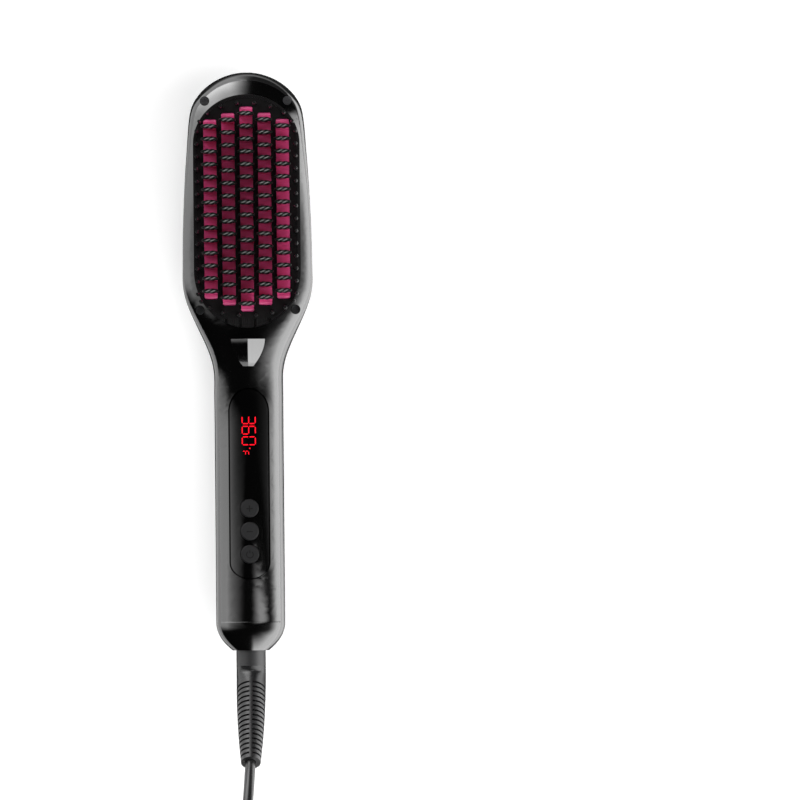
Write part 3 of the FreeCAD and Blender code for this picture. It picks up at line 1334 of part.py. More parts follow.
def strain_relief():
    steps = 9
    sections = [relief_section(relief_total * step / steps) for step in range(steps + 1)]
    body = Part.makeLoft(sections, True, False)
    body = body.cut(relief_slots())
    floor = size.cord_level - size.sleeve_radius + 0.95
    outer = [(SLEEVE_END + 3, floor, 0.5), (SLEEVE_END + 42.4, floor, 5.9),
             (SLEEVE_END + 25.0, floor + 22.0, 0.5), (SLEEVE_END + 9, floor + 9, 0.5)]
    inner = [(SLEEVE_END + 17.3, floor + 3.1, 2.0), (SLEEVE_END + 36.3, floor + 3.1, 2.65),
             (SLEEVE_END + 26.4, floor + 16.1, 0.8)]
    body = body.fuse(prism(closed_outline(outer), size.loop_half))
    wire_bore = Part.makeCylinder(size.cord_radius, size.cord_seat, relief_end, relief_way * -1)
    return body.cut(prism(closed_outline(inner), 20)).cut(wire_bore)


piece(feature("strain_relief_form", strain_relief()), "strain_relief")

socket_face_at = size.body_length - size.collar_in - size.collar_thickness - 0.3 - size.socket_length
board_edge = on_panel(0, size.board_end_at, size.board_depth + size.board_thickness / 2).Base
leads = [tube([Vector(side * size.lead_side, board_edge.y - 0.1, board_edge.z),
               Vector(side * (size.lead_side + 1), board_edge.y - 4.2, board_edge.z - 2),
               Vector(side * size.lead_side, y_at(socket_face_at), size.cord_level - 3)], size.lead_radius)
         for side in (1, -1)]
room = brick(20, size.board_at, socket_face_at, 0, size.clear_level)
board_room = Part.makeBox(40, 40, 40, Vector(-20, 0, -20))
board_room.Placement = on_panel(0, size.board_end_at, size.board_depth)
piece(feature("mains_leads_form", Part.makeCompound([lead.common(room).cut(board_room) for lead in leads])),
      "mains_leads")

# the cord rises out of the strain relief, bends over under its own weight and runs along the table
# each point is (x, how far past the strain relief's end, level)
CORD_SIDE = size.coil_side - size.coil_turn_radius - size.cord_radius * size.coil_turns_across
CORD_POINTS = [(0, 11.7, 78.6), (0, 30.0, 84.8), (-1.0, 48.0, 78.6), (-5.0, 61.5, 61.0), (-12.0, 69.5, 40.0),
               (-21.0, 80.0, 20.4), (-30.0, 95.0, 6.9), (CORD_SIDE, 115.0, size.cord_radius)]
CORD_TO_COIL = 22.0
coil_outer_turn = size.coil_turn_radius + size.cord_radius * size.coil_turns_across
coil_inner_turn = size.coil_turn_radius - size.cord_radius * size.coil_turns_across
coil_reach = coil_outer_turn + size.cord_radius
coil_height = 2 * size.cord_radius * size.coil_layers
coil_middle = Vector(size.coil_side, relief_end.y - CORD_POINTS[-1][1] - CORD_TO_COIL, 0)
plug_x = coil_middle.x + coil_outer_turn


def cord_shape():
    """The free cord: from inside the strain relief to the coil, and from the coil's far side to the plug."""
    radius = size.cord_radius
    points = [relief_end - relief_way * size.cord_seat]
    points += [Vector(x, relief_end.y - run, level) for x, run, level in CORD_POINTS]
    points.append(Vector(CORD_SIDE, coil_middle.y + 2, radius))
    block = Part.makeCylinder(coil_reach, size.clear_level, coil_middle)
    lead = tube(points, radius, "cord").cut(block)
    coil_side = Vector(plug_x, coil_middle.y, size.plug_level)
    tail = Part.makeCylinder(radius, plug_back() - coil_middle.y, coil_side, Vector(0, 1, 0))
    return Part.makeCompound([lead, tail.cut(block)])


def plug_back():
    """Y of the plug's neck end, beyond the coil's edge by the free tail."""
    return coil_middle.y + math.sqrt(coil_reach ** 2 - coil_outer_turn ** 2) + size.plug_tail


def coil_shape():
    """The put-away length, as one ring with rounded edges."""
    coil = Part.makeCylinder(coil_reach, coil_height, coil_middle)
    coil = coil.cut(Part.makeCylinder(coil_inner_turn - size.cord_radius, coil_height, coil_middle))
    return coil.makeFillet(size.cord_radius, [edge for edge in coil.Edges if edge.Closed and edge.Length > 50])


def plug_shape():
    """Moulded plug, lofted from its round neck to its flat face."""
    level = size.plug_level
    wires = []
    neck, wide = size.plug_neck, size.plug_half
    for share, half, rise in ((0, neck, neck), (0.35, neck + 0.7, neck + 0.5), (0.62, wide - 1.0, level - 0.7),
                              (0.85, wide, level), (1, wide - 0.4, level - 0.3)):
        y = plug_back() + share * size.plug_length
        spots = []
        for step in range(16):
            angle = 2 * math.pi * step / 16
            across = math.copysign(abs(math.cos(angle)) ** 0.8, math.cos(angle))
            up = math.copysign(abs(math.sin(angle)) ** 0.8, math.sin(angle))
            spots.append(Vector(plug_x + half * across, y, level + rise * up))
        curve = Part.BSplineCurve()
        curve.interpolate(Points=spots, PeriodicFlag=True)
        wires.append(Part.Wire([curve.toShape()]))
    return Part.makeLoft(wires, True, False)


def plug_blade():
    """Flat blade with a hole near its end, standing at the origin and pointing along +Y."""
    blade = Part.makeBox(size.blade_thickness, size.blade_length, size.blade_width,
                         Vector(-size.blade_thickness / 2, 0, -size.blade_width / 2))
    edges = [edge for edge in blade.Edges if abs(edge.tangentAt(edge.FirstParameter).x) > 0.9
             and edge.CenterOfMass.y > size.blade_length - 0.1]
    blade = blade.makeFillet(1.5, edges)
    hole = Part.makeCylinder(size.blade_hole, 4, Vector(-2, size.blade_length - 4, 0), Vector(1, 0, 0))
    return blade.cut(hole)


piece(feature("cord_form", cord_shape()), "cord")
piece(feature("cord_coil_form", coil_shape()), "cord_coil")
piece(feature("plug_body_form", plug_shape()), "plug_body")
plug_face = Vector(plug_x, plug_back() + size.plug_length, size.plug_level)
blade_spots = [Placement(plug_face + Vector(side * size.blade_pitch / 2, 0, 0), Rotation()) for side in (1, -1)]
piece(copies("plug_blades_group", plug_blade(), blade_spots), "plug_blades")

os.makedirs("parts", exist_ok=True)
doc.recompute()
faults = [item.Label for item in doc.Objects if "Invalid" in item.State or "Error" in item.State]
faults += [item.Label for item in pieces if item.Shape.isNull() or not item.Shape.isValid()]
if faults:
    raise RuntimeError("these did not build: " + ", ".join(faults))
for item in pieces:
    item.Shape.exportStep("parts/%s.step" % item.Label)
print("%d pieces" % len(pieces))
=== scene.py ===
# %% [markdown]
# # A steam brush for straightening hair
# The solids of the brush come ready made and in place, in metres: +X runs across the brush,
# +Y towards the head's tip and +Z the way the blades point. The brush lies on its back.
# Here it gets its finishes, its flexible cord, its moulded caps, its display digits, and a
# studio to stand in. The solids stay as they are, and the new pieces are fitted to them.

# %% Load the solids
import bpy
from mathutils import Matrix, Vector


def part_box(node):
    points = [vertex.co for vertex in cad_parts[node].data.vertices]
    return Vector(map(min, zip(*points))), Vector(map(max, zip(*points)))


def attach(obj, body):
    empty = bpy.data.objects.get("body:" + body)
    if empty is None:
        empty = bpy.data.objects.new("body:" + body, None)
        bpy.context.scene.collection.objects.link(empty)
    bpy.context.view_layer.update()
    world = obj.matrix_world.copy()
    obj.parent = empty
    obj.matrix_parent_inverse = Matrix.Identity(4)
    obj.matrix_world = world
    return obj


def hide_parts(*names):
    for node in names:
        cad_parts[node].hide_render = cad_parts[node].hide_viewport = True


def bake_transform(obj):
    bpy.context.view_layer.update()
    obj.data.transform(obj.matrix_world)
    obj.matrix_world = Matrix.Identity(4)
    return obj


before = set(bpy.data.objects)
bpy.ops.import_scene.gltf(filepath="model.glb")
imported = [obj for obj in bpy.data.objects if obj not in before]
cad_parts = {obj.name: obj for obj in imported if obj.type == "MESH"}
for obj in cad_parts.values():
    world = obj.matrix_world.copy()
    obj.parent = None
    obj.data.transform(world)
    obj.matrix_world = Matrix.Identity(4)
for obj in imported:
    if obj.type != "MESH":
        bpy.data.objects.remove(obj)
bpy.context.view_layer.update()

import math

import bmesh
import bpy
from mathutils import Vector
from mathutils.bvhtree import BVHTree

MM = 0.001
TIP_Y = 148.91 * MM


def down_from_tip(distance):
    """Y of a place that many millimetres from the head's tip."""
    return TIP_Y - distance * MM


# %% [markdown]
# ## The camera
# The brush is looked at from straight above, so a long lens far away keeps its sides parallel.
# A short lens close by would bend the tall blades outwards. The camera stands a little to the
# side of the brush, so the brush fills the left half of the picture and leans by half a degree.

# %% Camera
CAMERA_HEIGHT = 5.5
SENSOR_WIDTH, FOCAL_LENGTH = 36.0, 491.5
BRUSH_LEAN = -0.54
camera_lens = bpy.data.cameras.new("studio_camera")
camera_lens.sensor_width = SENSOR_WIDTH
camera_lens.lens = FOCAL_LENGTH
camera_lens.clip_end = 100.0
camera = bpy.data.objects.new("studio_camera", camera_lens)
camera.location = (75.9 * MM, -16.4 * MM, CAMERA_HEIGHT)
camera.rotation_euler = (0.0, 0.0, math.radians(BRUSH_LEAN))
bpy.context.scene.collection.objects.link(camera)
bpy.context.scene.camera = camera
bpy.context.scene.view_settings.view_transform = "Standard"
print("the picture is %.0f mm wide" % (SENSOR_WIDTH / FOCAL_LENGTH * CAMERA_HEIGHT / MM))

# %% [markdown]
# ## The cord
# A mains cord is one length of flexible cable, 5.2 mm thick. It leaves the strain relief
# upwards, bends over under its own weight, comes down to the table and runs on to a flat coil,
# which is the length put away, with the plug beside it. A NURBS curve suits it: a few control
# points give one smooth line, and the round section is the curve's own bevel. The coil winds
# inwards in one layer, climbs onto it and winds outwards again, a cord's width per turn.
# A NURBS curve of order 3 runs a little inside its control points, so those of the coil stand
# a fiftieth further out.
#
# The places along the way are measured from the strain relief's end, and levels from the table.

# %% The cord's route
CORD_RADIUS = 2.6 * MM
RELIEF_END = Vector((0.0, -196.138, 66.147)) * MM
RELIEF_WAY = Vector((0.0, -math.cos(math.radians(47.0)), math.sin(math.radians(47.0))))
COIL_OUTER, COIL_INNER = 40.95 * MM, 21.45 * MM
COIL_START_RUN, COIL_MIDDLE_RUN = 115.0, 115.0 + 22.0
COIL_MIDDLE = Vector((6.5 * MM, RELIEF_END.y - COIL_MIDDLE_RUN * MM, 0.0))
CORD_SIDE = (COIL_MIDDLE.x - COIL_OUTER) / MM
# each point is (x, how far past the strain relief's end, level), in millimetres
CORD_POINTS = [(-0.8, 11.7, 78.6), (-2.4, 30.0, 84.8), (-3.0, 48.0, 78.6), (-6.0, 61.5, 61.0),
               (-12.0, 69.5, 40.0), (-21.0, 80.0, 20.4), (-30.0, 95.0, 6.9), (CORD_SIDE, COIL_START_RUN, 2.6)]
LOWER_LAYER, UPPER_LAYER = 2.6 * MM, 7.85 * MM
LAYER_TURNS = 3.75
LAYER_ANGLE = LAYER_TURNS * 360.0
POINTS_PER_TURN = 16
CLIMB_SHARE = 0.05
BULGE = 0.981
PLUG_LEVEL = 7.8 * MM


def coil_point(angle, radius, level):
    """Control point of a turn; the angle counts from +X about the coil's middle, in degrees."""
    turn = math.radians(angle)
    outwards = Vector((math.cos(turn), math.sin(turn), 0.0))
    return COIL_MIDDLE + outwards * (radius / BULGE) + Vector((0.0, 0.0, level))


route = [RELIEF_END - RELIEF_WAY * (6.0 * MM)]
route += [Vector((x * MM, RELIEF_END.y - run * MM, level * MM)) for x, run, level in CORD_POINTS]
steps = int(LAYER_TURNS * POINTS_PER_TURN)
for step in range(steps + 1):
    share = step / steps
    radius = COIL_OUTER + (COIL_INNER - COIL_OUTER) * share
    route.append(coil_point(180.0 + share * LAYER_ANGLE, radius, LOWER_LAYER))
for step in range(1, steps + 1):
    share = step / steps
    climbed = min(share / CLIMB_SHARE, 1.0)
    widened = max(share - CLIMB_SHARE, 0.0) / (1.0 - CLIMB_SHARE)
    radius = COIL_INNER + (COIL_OUTER - COIL_INNER) * widened
    level = LOWER_LAYER + (UPPER_LAYER - LOWER_LAYER) * climbed
    route.append(coil_point(90.0 + share * LAYER_ANGLE, radius, level))
PLUG_BACK_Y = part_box("plug_body")[0][1]
PLUG_X = COIL_MIDDLE.x + COIL_OUTER
route.append(Vector((PLUG_X, COIL_MIDDLE.y + 16.0 * MM, PLUG_LEVEL)))
route.append(Vector((PLUG_X, PLUG_BACK_Y + 6.0 * MM, PLUG_LEVEL)))
print("the cord's line has", len(route), "control points")

# %% The cord as a curve
cord_curve = bpy.data.curves.new("mains_cord", "CURVE")
cord_curve.dimensions = "3D"
cord_line = cord_curve.splines.new("NURBS")
cord_line.points.add(len(route) - 1)
for point, place in zip(cord_line.points, route):
    point.co = (*place, 1.0)
cord_line.order_u = 3
cord_line.use_endpoint_u = True
cord_line.resolution_u = 4
cord_curve.resolution_u = 4
cord_curve.bevel_depth = CORD_RADIUS
cord_curve.bevel_resolution = 3
cord_curve.use_fill_caps = True
mains_cord = bpy.data.objects.new("mains_cord", cord_curve)
bpy.context.scene.collection.objects.link(mains_cord)
coil_length = 2 * LAYER_TURNS * math.pi * (COIL_OUTER + COIL_INNER)
print("about %.2f m of it is in the coil" % coil_length)

# %% [markdown]
# ## Writing materials as sums
# A material is a graph of nodes. Drawing it by hand hides the sums in it, so two small helpers
# let Python write them. A Wire stands for one socket and takes part in sums like a number.
# A Recipe is the tree being written, and its one method adds any node.

# %% Wires and recipes
class Wire:
    """One output socket, which adds a Math node for each sum it takes part in."""

    def __init__(self, recipe, socket):
        self.recipe = recipe
        self.socket = socket

    def out(self, name):
        """Another output of the same node."""
        return Wire(self.recipe, self.socket.node.outputs[name])

    def sum(self, operation, *values):
        """A Math node of that kind, between those values."""
        return self.recipe.node("ShaderNodeMath", {"operation": operation}, values)

    def larger(self, other):
        return self.sum("MAXIMUM", self, other)

    def magnitude(self):
        return self.sum("ABSOLUTE", self)

    def __add__(self, other):
        return self.sum("ADD", self, other)

    def __radd__(self, other):
        return self.sum("ADD", other, self)

    def __sub__(self, other):
        return self.sum("SUBTRACT", self, other)

    def __rsub__(self, other):
        return self.sum("SUBTRACT", other, self)

    def __mul__(self, other):
        return self.sum("MULTIPLY", self, other)

    def __rmul__(self, other):
        return self.sum("MULTIPLY", other, self)

    def __truediv__(self, other):
        return self.sum("DIVIDE", self, other)

    def __pow__(self, other):
        return self.sum("POWER", self, other)


class Recipe:
    """A node tree being written."""

    def __init__(self, tree):
        self.tree = tree
        tree.nodes.clear()

    def node(self, kind, settings=None, inputs=(), output=0):
        """Adds a node: its settings first, then a value or a wire for each socket."""
        made = self.tree.nodes.new(kind)
        for name, value in (settings or {}).items():
            setattr(made, name, value)
        pairs = inputs.items() if isinstance(inputs, dict) else enumerate(inputs)
        for key, value in pairs:
            if isinstance(value, Wire):
                self.tree.links.new(value.socket, made.inputs[key])
            else:
                made.inputs[key].default_value = value
        return Wire(self, made.outputs[output]) if len(made.outputs) else made

    def between(self, value, low, high):
        """0 below low and 1 above high, with a soft change in between."""
        return self.node("ShaderNodeMapRange", {"interpolation_type": "SMOOTHSTEP"},
                         {"Value": value, "From Min": low, "From Max": high})

    def window(self, value, start, full, fading, end):
        """1 between full and fading, 0 outside start and end."""
        return self.between(value, start, full) * (1.0 - self.between(value, fading, end))

    def mixed(self, share, first, second):
        """A colour between two others."""
        return self.node("ShaderNodeMix", {"data_type": "RGBA"}, {0: share, 6: first, 7: second}, 2)

    def noise(self, place, scale, detail=2.0):
        return self.node("ShaderNodeTexNoise", {}, {"Vector": place, "Scale": scale, "Detail": detail})


print("sums like 1 - mask now add their own nodes")

# %% [markdown]
# ## The light
# Glossy black plastic shows hardly any colour of its own: what is seen on it is the studio.
# So the light is three soft cards, written by direction in the world: one over the left, one
# over the right, and a narrow one overhead that ends in a slanted edge. Area lamps could do it
# too, but a card written by direction reaches the whole brush alike. Together they light a
# white surface at about its own colour. The camera itself sees plain white. All angles are in
# degrees: leaning counts from straight up, from_left from the left side towards the head's tip,
# and from_right from the right side towards the cord.

# %% The studio's cards
DEGREES = 180.0 / math.pi
LEFT_LEVEL, LEFT_TOP_LEVEL = 1.75, 5.4
RIGHT_LEVEL = 4.2
CENTRE_LEVEL, EDGE_SLANT = 2.2, 0.16
ELSEWHERE = 0.005
world = bpy.data.worlds.new("studio")
world.use_nodes = True
bpy.context.scene.world = world
sky = Recipe(world.node_tree)
way = sky.node("ShaderNodeTexCoord", output="Generated")
across = sky.node("ShaderNodeSeparateXYZ", {}, [way])
along, up = across.out("Y"), across.out("Z")
from_left = across.sum("ARCTAN2", along, -1.0 * across) * DEGREES
from_right = across.sum("ARCTAN2", -1.0 * along, across) * DEGREES
leaning = across.sum("ARCCOSINE", up) * DEGREES
tilt_x = across.sum("ARCTAN2", across, up) * DEGREES
tilt_y = across.sum("ARCTAN2", along, up) * DEGREES
# the left card: it fades in from above, later towards the tip, and is brighter there
towards_tip = sky.between(from_left, 20.0, 75.0)
left_start = towards_tip * 14.0
left_share = (leaning - left_start) / (46.0 - left_start)
left_fade = left_share.sum("MINIMUM", left_share.larger(0.0), 1.0) ** 2.2
left_card = (sky.window(from_left, -16.0, 3.0, 74.0, 93.0) * left_fade
             * (LEFT_LEVEL + sky.between(from_left, 5.0, 60.0) * (LEFT_TOP_LEVEL - LEFT_LEVEL))
             * (1.0 - towards_tip * 0.5 * (1.0 - sky.between(leaning, 40.0, 85.0))))
# the right card: it fades in faster in its middle, over a faint veil
right_reach = leaning + sky.between(from_right, 5.0, 40.0) * 16.0
right_fade = sky.between(right_reach, 26.0, 66.0) * 0.96 + sky.between(leaning, 4.0, 40.0) * 0.04
right_card = sky.window(from_right, -22.0, -8.0, 80.0, 92.0) * right_fade * RIGHT_LEVEL
# the card overhead, cut off by its slanted edge
slanted_edge = tilt_y - tilt_x * EDGE_SLANT
centre_card = (sky.window(tilt_x, 0.0, 12.0, 16.0, 34.0) * sky.between(slanted_edge, 6.6, 9.4)
               * (1.0 - sky.between(tilt_y, 28.0, 36.0)) * CENTRE_LEVEL)
cards = left_card.larger(right_card).larger(centre_card) + ELSEWHERE
seen = sky.node("ShaderNodeLightPath", output="Is Camera Ray")
strength = seen + cards * (1.0 - seen)
glow = sky.node("ShaderNodeBackground", {}, {"Color": (1, 1, 1, 1), "Strength": strength})
sky.node("ShaderNodeOutputWorld", {}, {"Surface": glow})
print("the sky's tree has", len(world.node_tree.nodes), "nodes for three cards")

# %% [markdown]
# ## The floor
# A plain pale disc, wide enough for every view. Its own light is added only where the camera,
# a mirror or glass looks at it, so it looks white without lighting the brush, and the soft
# shadow of the brush stays on it. The steep sides of glossy plastic mirror the floor close by:
# there a painted shade, seen only in mirrors, makes it dark in a lane along the brush, which
# draws a thin dark line round the shell, dark past the head's right half. To the right a painted
# glow, seen only in mirrors, makes it brighter, where it goes on from the right card.

# %% Floor
FLOOR_RADIUS = 14.0
LANE_HALF, LANE_EXTRA_AT_HEAD, LANE_FADE = 26.0 * MM, 16.0 * MM, 12.0 * MM
SHEET_GLOW, RIGHT_GLOW = 0.45, 1.6
floor_mesh = bpy.data.meshes.new("studio_floor")
floor_form = bmesh.new()
bmesh.ops.create_circle(floor_form, cap_ends=True, segments=96, radius=FLOOR_RADIUS)
floor_form.to_mesh(floor_mesh)
floor_form.free()
studio_floor = bpy.data.objects.new("studio_floor", floor_mesh)
bpy.context.scene.collection.objects.link(studio_floor)
floor_paper = bpy.data.materials.new("floor_paper")
floor_paper.use_nodes = True
paper = Recipe(floor_paper.node_tree)
camera_ray = paper.node("ShaderNodeLightPath", output="Is Camera Ray")
glossy = camera_ray.out("Is Glossy Ray")
spot_on_floor = paper.node("ShaderNodeTexCoord", output="Object")
floor_x = paper.node("ShaderNodeSeparateXYZ", {}, [spot_on_floor])
floor_y = floor_x.out("Y")
lane_half = LANE_HALF + paper.between(floor_y, -20.0 * MM, 40.0 * MM) * LANE_EXTRA_AT_HEAD
aside = floor_x.magnitude() - lane_half
past_tip = paper.between(floor_y, TIP_Y + 10.0 * MM, TIP_Y + 40.0 * MM)
# painted shade: along the brush the floor turns black and loses its own light, for mirrored rays only
near_lane = (1.0 - paper.between(aside, 0.0, LANE_FADE)) * (1.0 - past_tip)
painted_lane_shade = near_lane.larger(past_tip * paper.between(floor_x, -20.0 * MM, 10.0 * MM)) * glossy
# painted light: to the right the floor glows for mirrored rays, going on from the right card
painted_right_glow = paper.between(floor_x, 40.0 * MM, 70.0 * MM) * (1.0 - past_tip) * glossy
looked_at = camera_ray.larger(glossy.larger(camera_ray.out("Is Transmission Ray")))
sheet_light = (looked_at * SHEET_GLOW + painted_right_glow * RIGHT_GLOW) * (1.0 - painted_lane_shade)
paper_grain = paper.noise(spot_on_floor, 300.0)
paper_white = paper.mixed(paper_grain, (0.63, 0.63, 0.63, 1), (0.65, 0.65, 0.65, 1))
paper_colour = paper.mixed(painted_lane_shade, paper_white, (0.004, 0.004, 0.004, 1))
paper_surface = paper.node("ShaderNodeBsdfPrincipled", {},
                           {"Base Color": paper_colour, "Roughness": 0.9, "Emission Color": (1, 1, 1, 1),
                            "Emission Strength": sheet_light})
paper.node("ShaderNodeOutputMaterial", {}, {"Surface": paper_surface})
floor_mesh.materials.append(floor_paper)
print("floor %.0f m across" % (2 * FLOOR_RADIUS))

# %% [markdown]
# ## A common base for the finishes
# Most of the brush is moulded plastic. Up close, none of it is one flat colour: the pigment
# varies a little, fingers leave smudges that change the gloss, and the mould's surface gives a
# fine grain. One helper writes that base, and each finish says how much of each it has.
# What is the same all over a piece is set on the shader itself.

# %% Helper for finishes
def finish(name, dark, light, roughness, smudge=0.05, patch=60.0, grain=0.0, grain_scale=2500.0,
           colour=None, relief=None, unmirrored=None, **constants):
    """A finish between two colours, with smudged gloss and a fine grain.

    colour, relief and unmirrored may be functions of (recipe, place) that give another base colour,
    another height in metres, and 1 where the surface is painted dark as shade: there it is a black
    metal, which mirrors nothing from above. Constants are the shader's own sockets.
    """
    material = bpy.data.materials.new(name)
    material.use_nodes = True
    recipe = Recipe(material.node_tree)
    place = recipe.node("ShaderNodeTexCoord", output="Object")
    patches = recipe.noise(place, patch, 3.0)
    base = colour(recipe, place) if colour else recipe.mixed(patches, (*dark, 1), (*light, 1))
    inputs = {"Base Color": base, "Roughness": roughness - smudge + patches * (2 * smudge)}
    if unmirrored:
        # painted shade: where this mask is 1, a black metal without its coat mirrors nothing and stays dark
        unmirrored_share = unmirrored(recipe, place)
        inputs["Metallic"] = unmirrored_share
        inputs["Coat Weight"] = 1.0 - unmirrored_share
    height = relief(recipe, place) if relief else None
    if grain:
        fine = recipe.noise(place, grain_scale, 4.0) * grain
        height = fine if height is None else height + fine
    if height is not None:
        inputs["Normal"] = recipe.node("ShaderNodeBump", {}, {"Height": height, "Distance": 1.0})
    inputs.update({key.replace("_", " ").title().replace("Ior", "IOR"): value
                   for key, value in constants.items()})
    surface = recipe.node("ShaderNodeBsdfPrincipled", {}, inputs)
    recipe.node("ShaderNodeOutputMaterial", {}, {"Surface": surface})
    return material


def give(material, *names):
    """The finish goes onto these solids, which keep their shapes."""
    for name in names:
        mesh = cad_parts[name].data
        for slot in range(len(mesh.materials)):
            mesh.materials[slot] = material


def grey(level):
    return (level, level, level * 1.04)


print("finishes can be written")

# %% [markdown]
# ## Gloss black
# The front shell, the end cap and the nozzle are polished black plastic. Its own colour is
# almost nothing, so its strength lies in the reflection: a second, clear layer over the first
# gives the deep shine of a polished mould, and both have a high index. Faint smudges soften it.
# The end cap's edge at the seam is rounded over, which draws a fine light line there, and the
# lens has a narrow rim that is painted shade: it mirrors nothing, so it stays dark.

# %% Gloss black pieces
POLISHED = {"smudge": 0.03, "patch": 35.0, "ior": 1.6, "coat_weight": 1.0, "coat_roughness": 0.04,
            "coat_ior": 1.6}
gloss_black = finish("gloss_black_plastic", grey(0.0006), grey(0.0014), 0.11, **POLISHED)
give(gloss_black, "front_housing", "steam_nozzle")
CAP_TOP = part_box("end_cap")[1][1]


def rolled_edge(recipe, place):
    """The cap's edge at the seam is rounded over, four tenths of a millimetre wide."""
    from_seam = CAP_TOP - recipe.node("ShaderNodeSeparateXYZ", {}, [place]).out("Y")
    return recipe.between(from_seam, -0.1 * MM, 0.5 * MM) * (0.12 * MM)


cap_gloss = finish("cap_gloss_plastic", grey(0.0006), grey(0.0014), 0.11, relief=rolled_edge, **POLISHED)
give(cap_gloss, "end_cap")
print("polished: shell, nozzle and cap, whose seam is at y = %.1f mm" % (CAP_TOP / MM))

# %% The lens and its rim
LENS_TOP, LENS_END = (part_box("control_lens")[corner][1] for corner in (1, 0))
LENS_HALF, UPPER_ARCH, LOWER_ARCH = 10.15 * MM, 12.0 * MM, 8.5 * MM


def lens_groove(recipe, place):
    """1 in the rim of the lens, which is painted shade that mirrors nothing; it has straight sides and an
    elliptic arch at each end.
    """
    parts = recipe.node("ShaderNodeSeparateXYZ", {}, [place])
    upper = (parts.out("Y") - (LENS_TOP - UPPER_ARCH)) / UPPER_ARCH
    lower = (LENS_END + LOWER_ARCH - parts.out("Y")) / LOWER_ARCH
    ending = upper.larger(lower).larger(0.0)
    outward = ((parts / LENS_HALF) ** 2.0 + ending ** 2.0) ** 0.5
    return recipe.between(outward, 0.93, 0.96)


lens_black = finish("lens_black_plastic", grey(0.0004), grey(0.001), 0.07, smudge=0.02, patch=30.0,
                    unmirrored=lens_groove, ior=1.6, coat_roughness=0.03, coat_ior=1.6)
give(lens_black, "control_lens")
print("the lens is %.1f mm long" % ((LENS_TOP - LENS_END) / MM))

# %% [markdown]
# ## Satin black
# The back of the brush is meant to be gripped: the mould is etched, so the plastic scatters
# light and has a grain that can be felt. The water tank is smoother and a little see-through
# in its colour, and the strain relief and the cord are soft PVC.

# %% Satin black pieces
satin_black = finish("satin_black_plastic", grey(0.014), grey(0.02), 0.4, grain=0.00002)
give(satin_black, "rear_housing", "handle_back_cover", "tank_latch", "swivel_sleeve")
tank_smoke = finish("tank_smoke_plastic", grey(0.016), grey(0.024), 0.24, smudge=0.04, patch=25.0,
                    coat_weight=0.4, coat_roughness=0.15)
give(tank_smoke, "water_tank")
relief_pvc = finish("relief_pvc", grey(0.009), grey(0.014), 0.27, grain=0.000003)
give(relief_pvc, "strain_relief")
plug_pvc = finish("plug_pvc", grey(0.014), grey(0.022), 0.42, grain=0.00001)
give(plug_pvc, "plug_body")
cord_pvc = finish("cord_pvc", grey(0.009), grey(0.014), 0.27, smudge=0.05, patch=90.0, grain=0.000003)
cord_curve.materials.append(cord_pvc)
key_rubber = finish("key_rubber", grey(0.011), grey(0.014), 0.6, grain=0.00001, specular_ior_level=0.14)
give(key_rubber, "button_plus", "button_minus", "button_power")
print("satin and soft finishes:", len([satin_black, tank_smoke, relief_pvc, plug_pvc, cord_pvc, key_rubber]))

# %% [markdown]
# ## The comb
# The comb's frame is heat-proof black plastic with a fine ribbed band at its lower end. The
# heated plate has a baked pink coating, rolled on along the columns, so its colour runs in
# faint streaks across the blades. The caps on the blades are black too, with a painted
# highlight in grey on the tops of their twisted ridges.

# %% Comb finishes
RIB_PITCH, RIB_HEIGHT = 1.1 * MM, 0.03 * MM


def band_ribs(recipe, place):
    """Fine ribs along the brush, only on the band below the plate."""
    parts = recipe.node("ShaderNodeSeparateXYZ", {}, [place])
    turn = parts * (2 * math.pi / RIB_PITCH)
    band = 1.0 - recipe.between(parts.out("Y"), down_from_tip(125.0), down_from_tip(122.5))
    return turn.sum("SINE", turn) * band * RIB_HEIGHT


comb_black = finish("comb_black_plastic", grey(0.003), grey(0.005), 0.3, grain=0.000005, relief=band_ribs,
                    specular_ior_level=0.4)
give(comb_black, "comb_frame", "edge_pins")


def painted_ridge_highlights(recipe, place):
    """Painted highlight: grey on the tops of a cap's twisted ridges."""
    ridge = recipe.node("ShaderNodeAttribute", {"attribute_name": "ridge"}, output="Fac")
    return recipe.mixed(ridge, (0.003, 0.004, 0.0035, 1), (0.17, 0.185, 0.178, 1))


cap_black = finish("cap_black_plastic", (0, 0, 0), (0, 0, 0), 0.34, smudge=0.05, colour=painted_ridge_highlights,
                   specular_ior_level=0.12)


def coated_pink(recipe, place):
    """Pink coating with faint streaks along the columns."""
    streaked = recipe.node("ShaderNodeMapping", {}, {"Vector": place, "Scale": (1.0, 6.0, 1.0)})
    streaks = recipe.noise(streaked, 260.0, 3.0)
    return recipe.mixed(streaks, (0.54, 0.05, 0.18, 1), (0.72, 0.08, 0.26, 1))


comb_pink = finish("comb_pink_coating", (0, 0, 0), (0, 0, 0), 0.34, smudge=0.06, patch=150.0, grain=0.00001,
                   colour=coated_pink, coat_weight=0.35, coat_roughness=0.2)
give(comb_pink, "heater_comb")
print("finishes for the comb:", comb_black.name, cap_black.name, comb_pink.name)

# %% [markdown]
# ## The metals
# Screws, spring and clamp are steel, the blades of the plug are nickel-plated brass, and the
# steam chamber is cast aluminium. A metal is its reflection, so roughness does the work: turned
# and stamped parts carry fine scratches, and a casting is mottled.

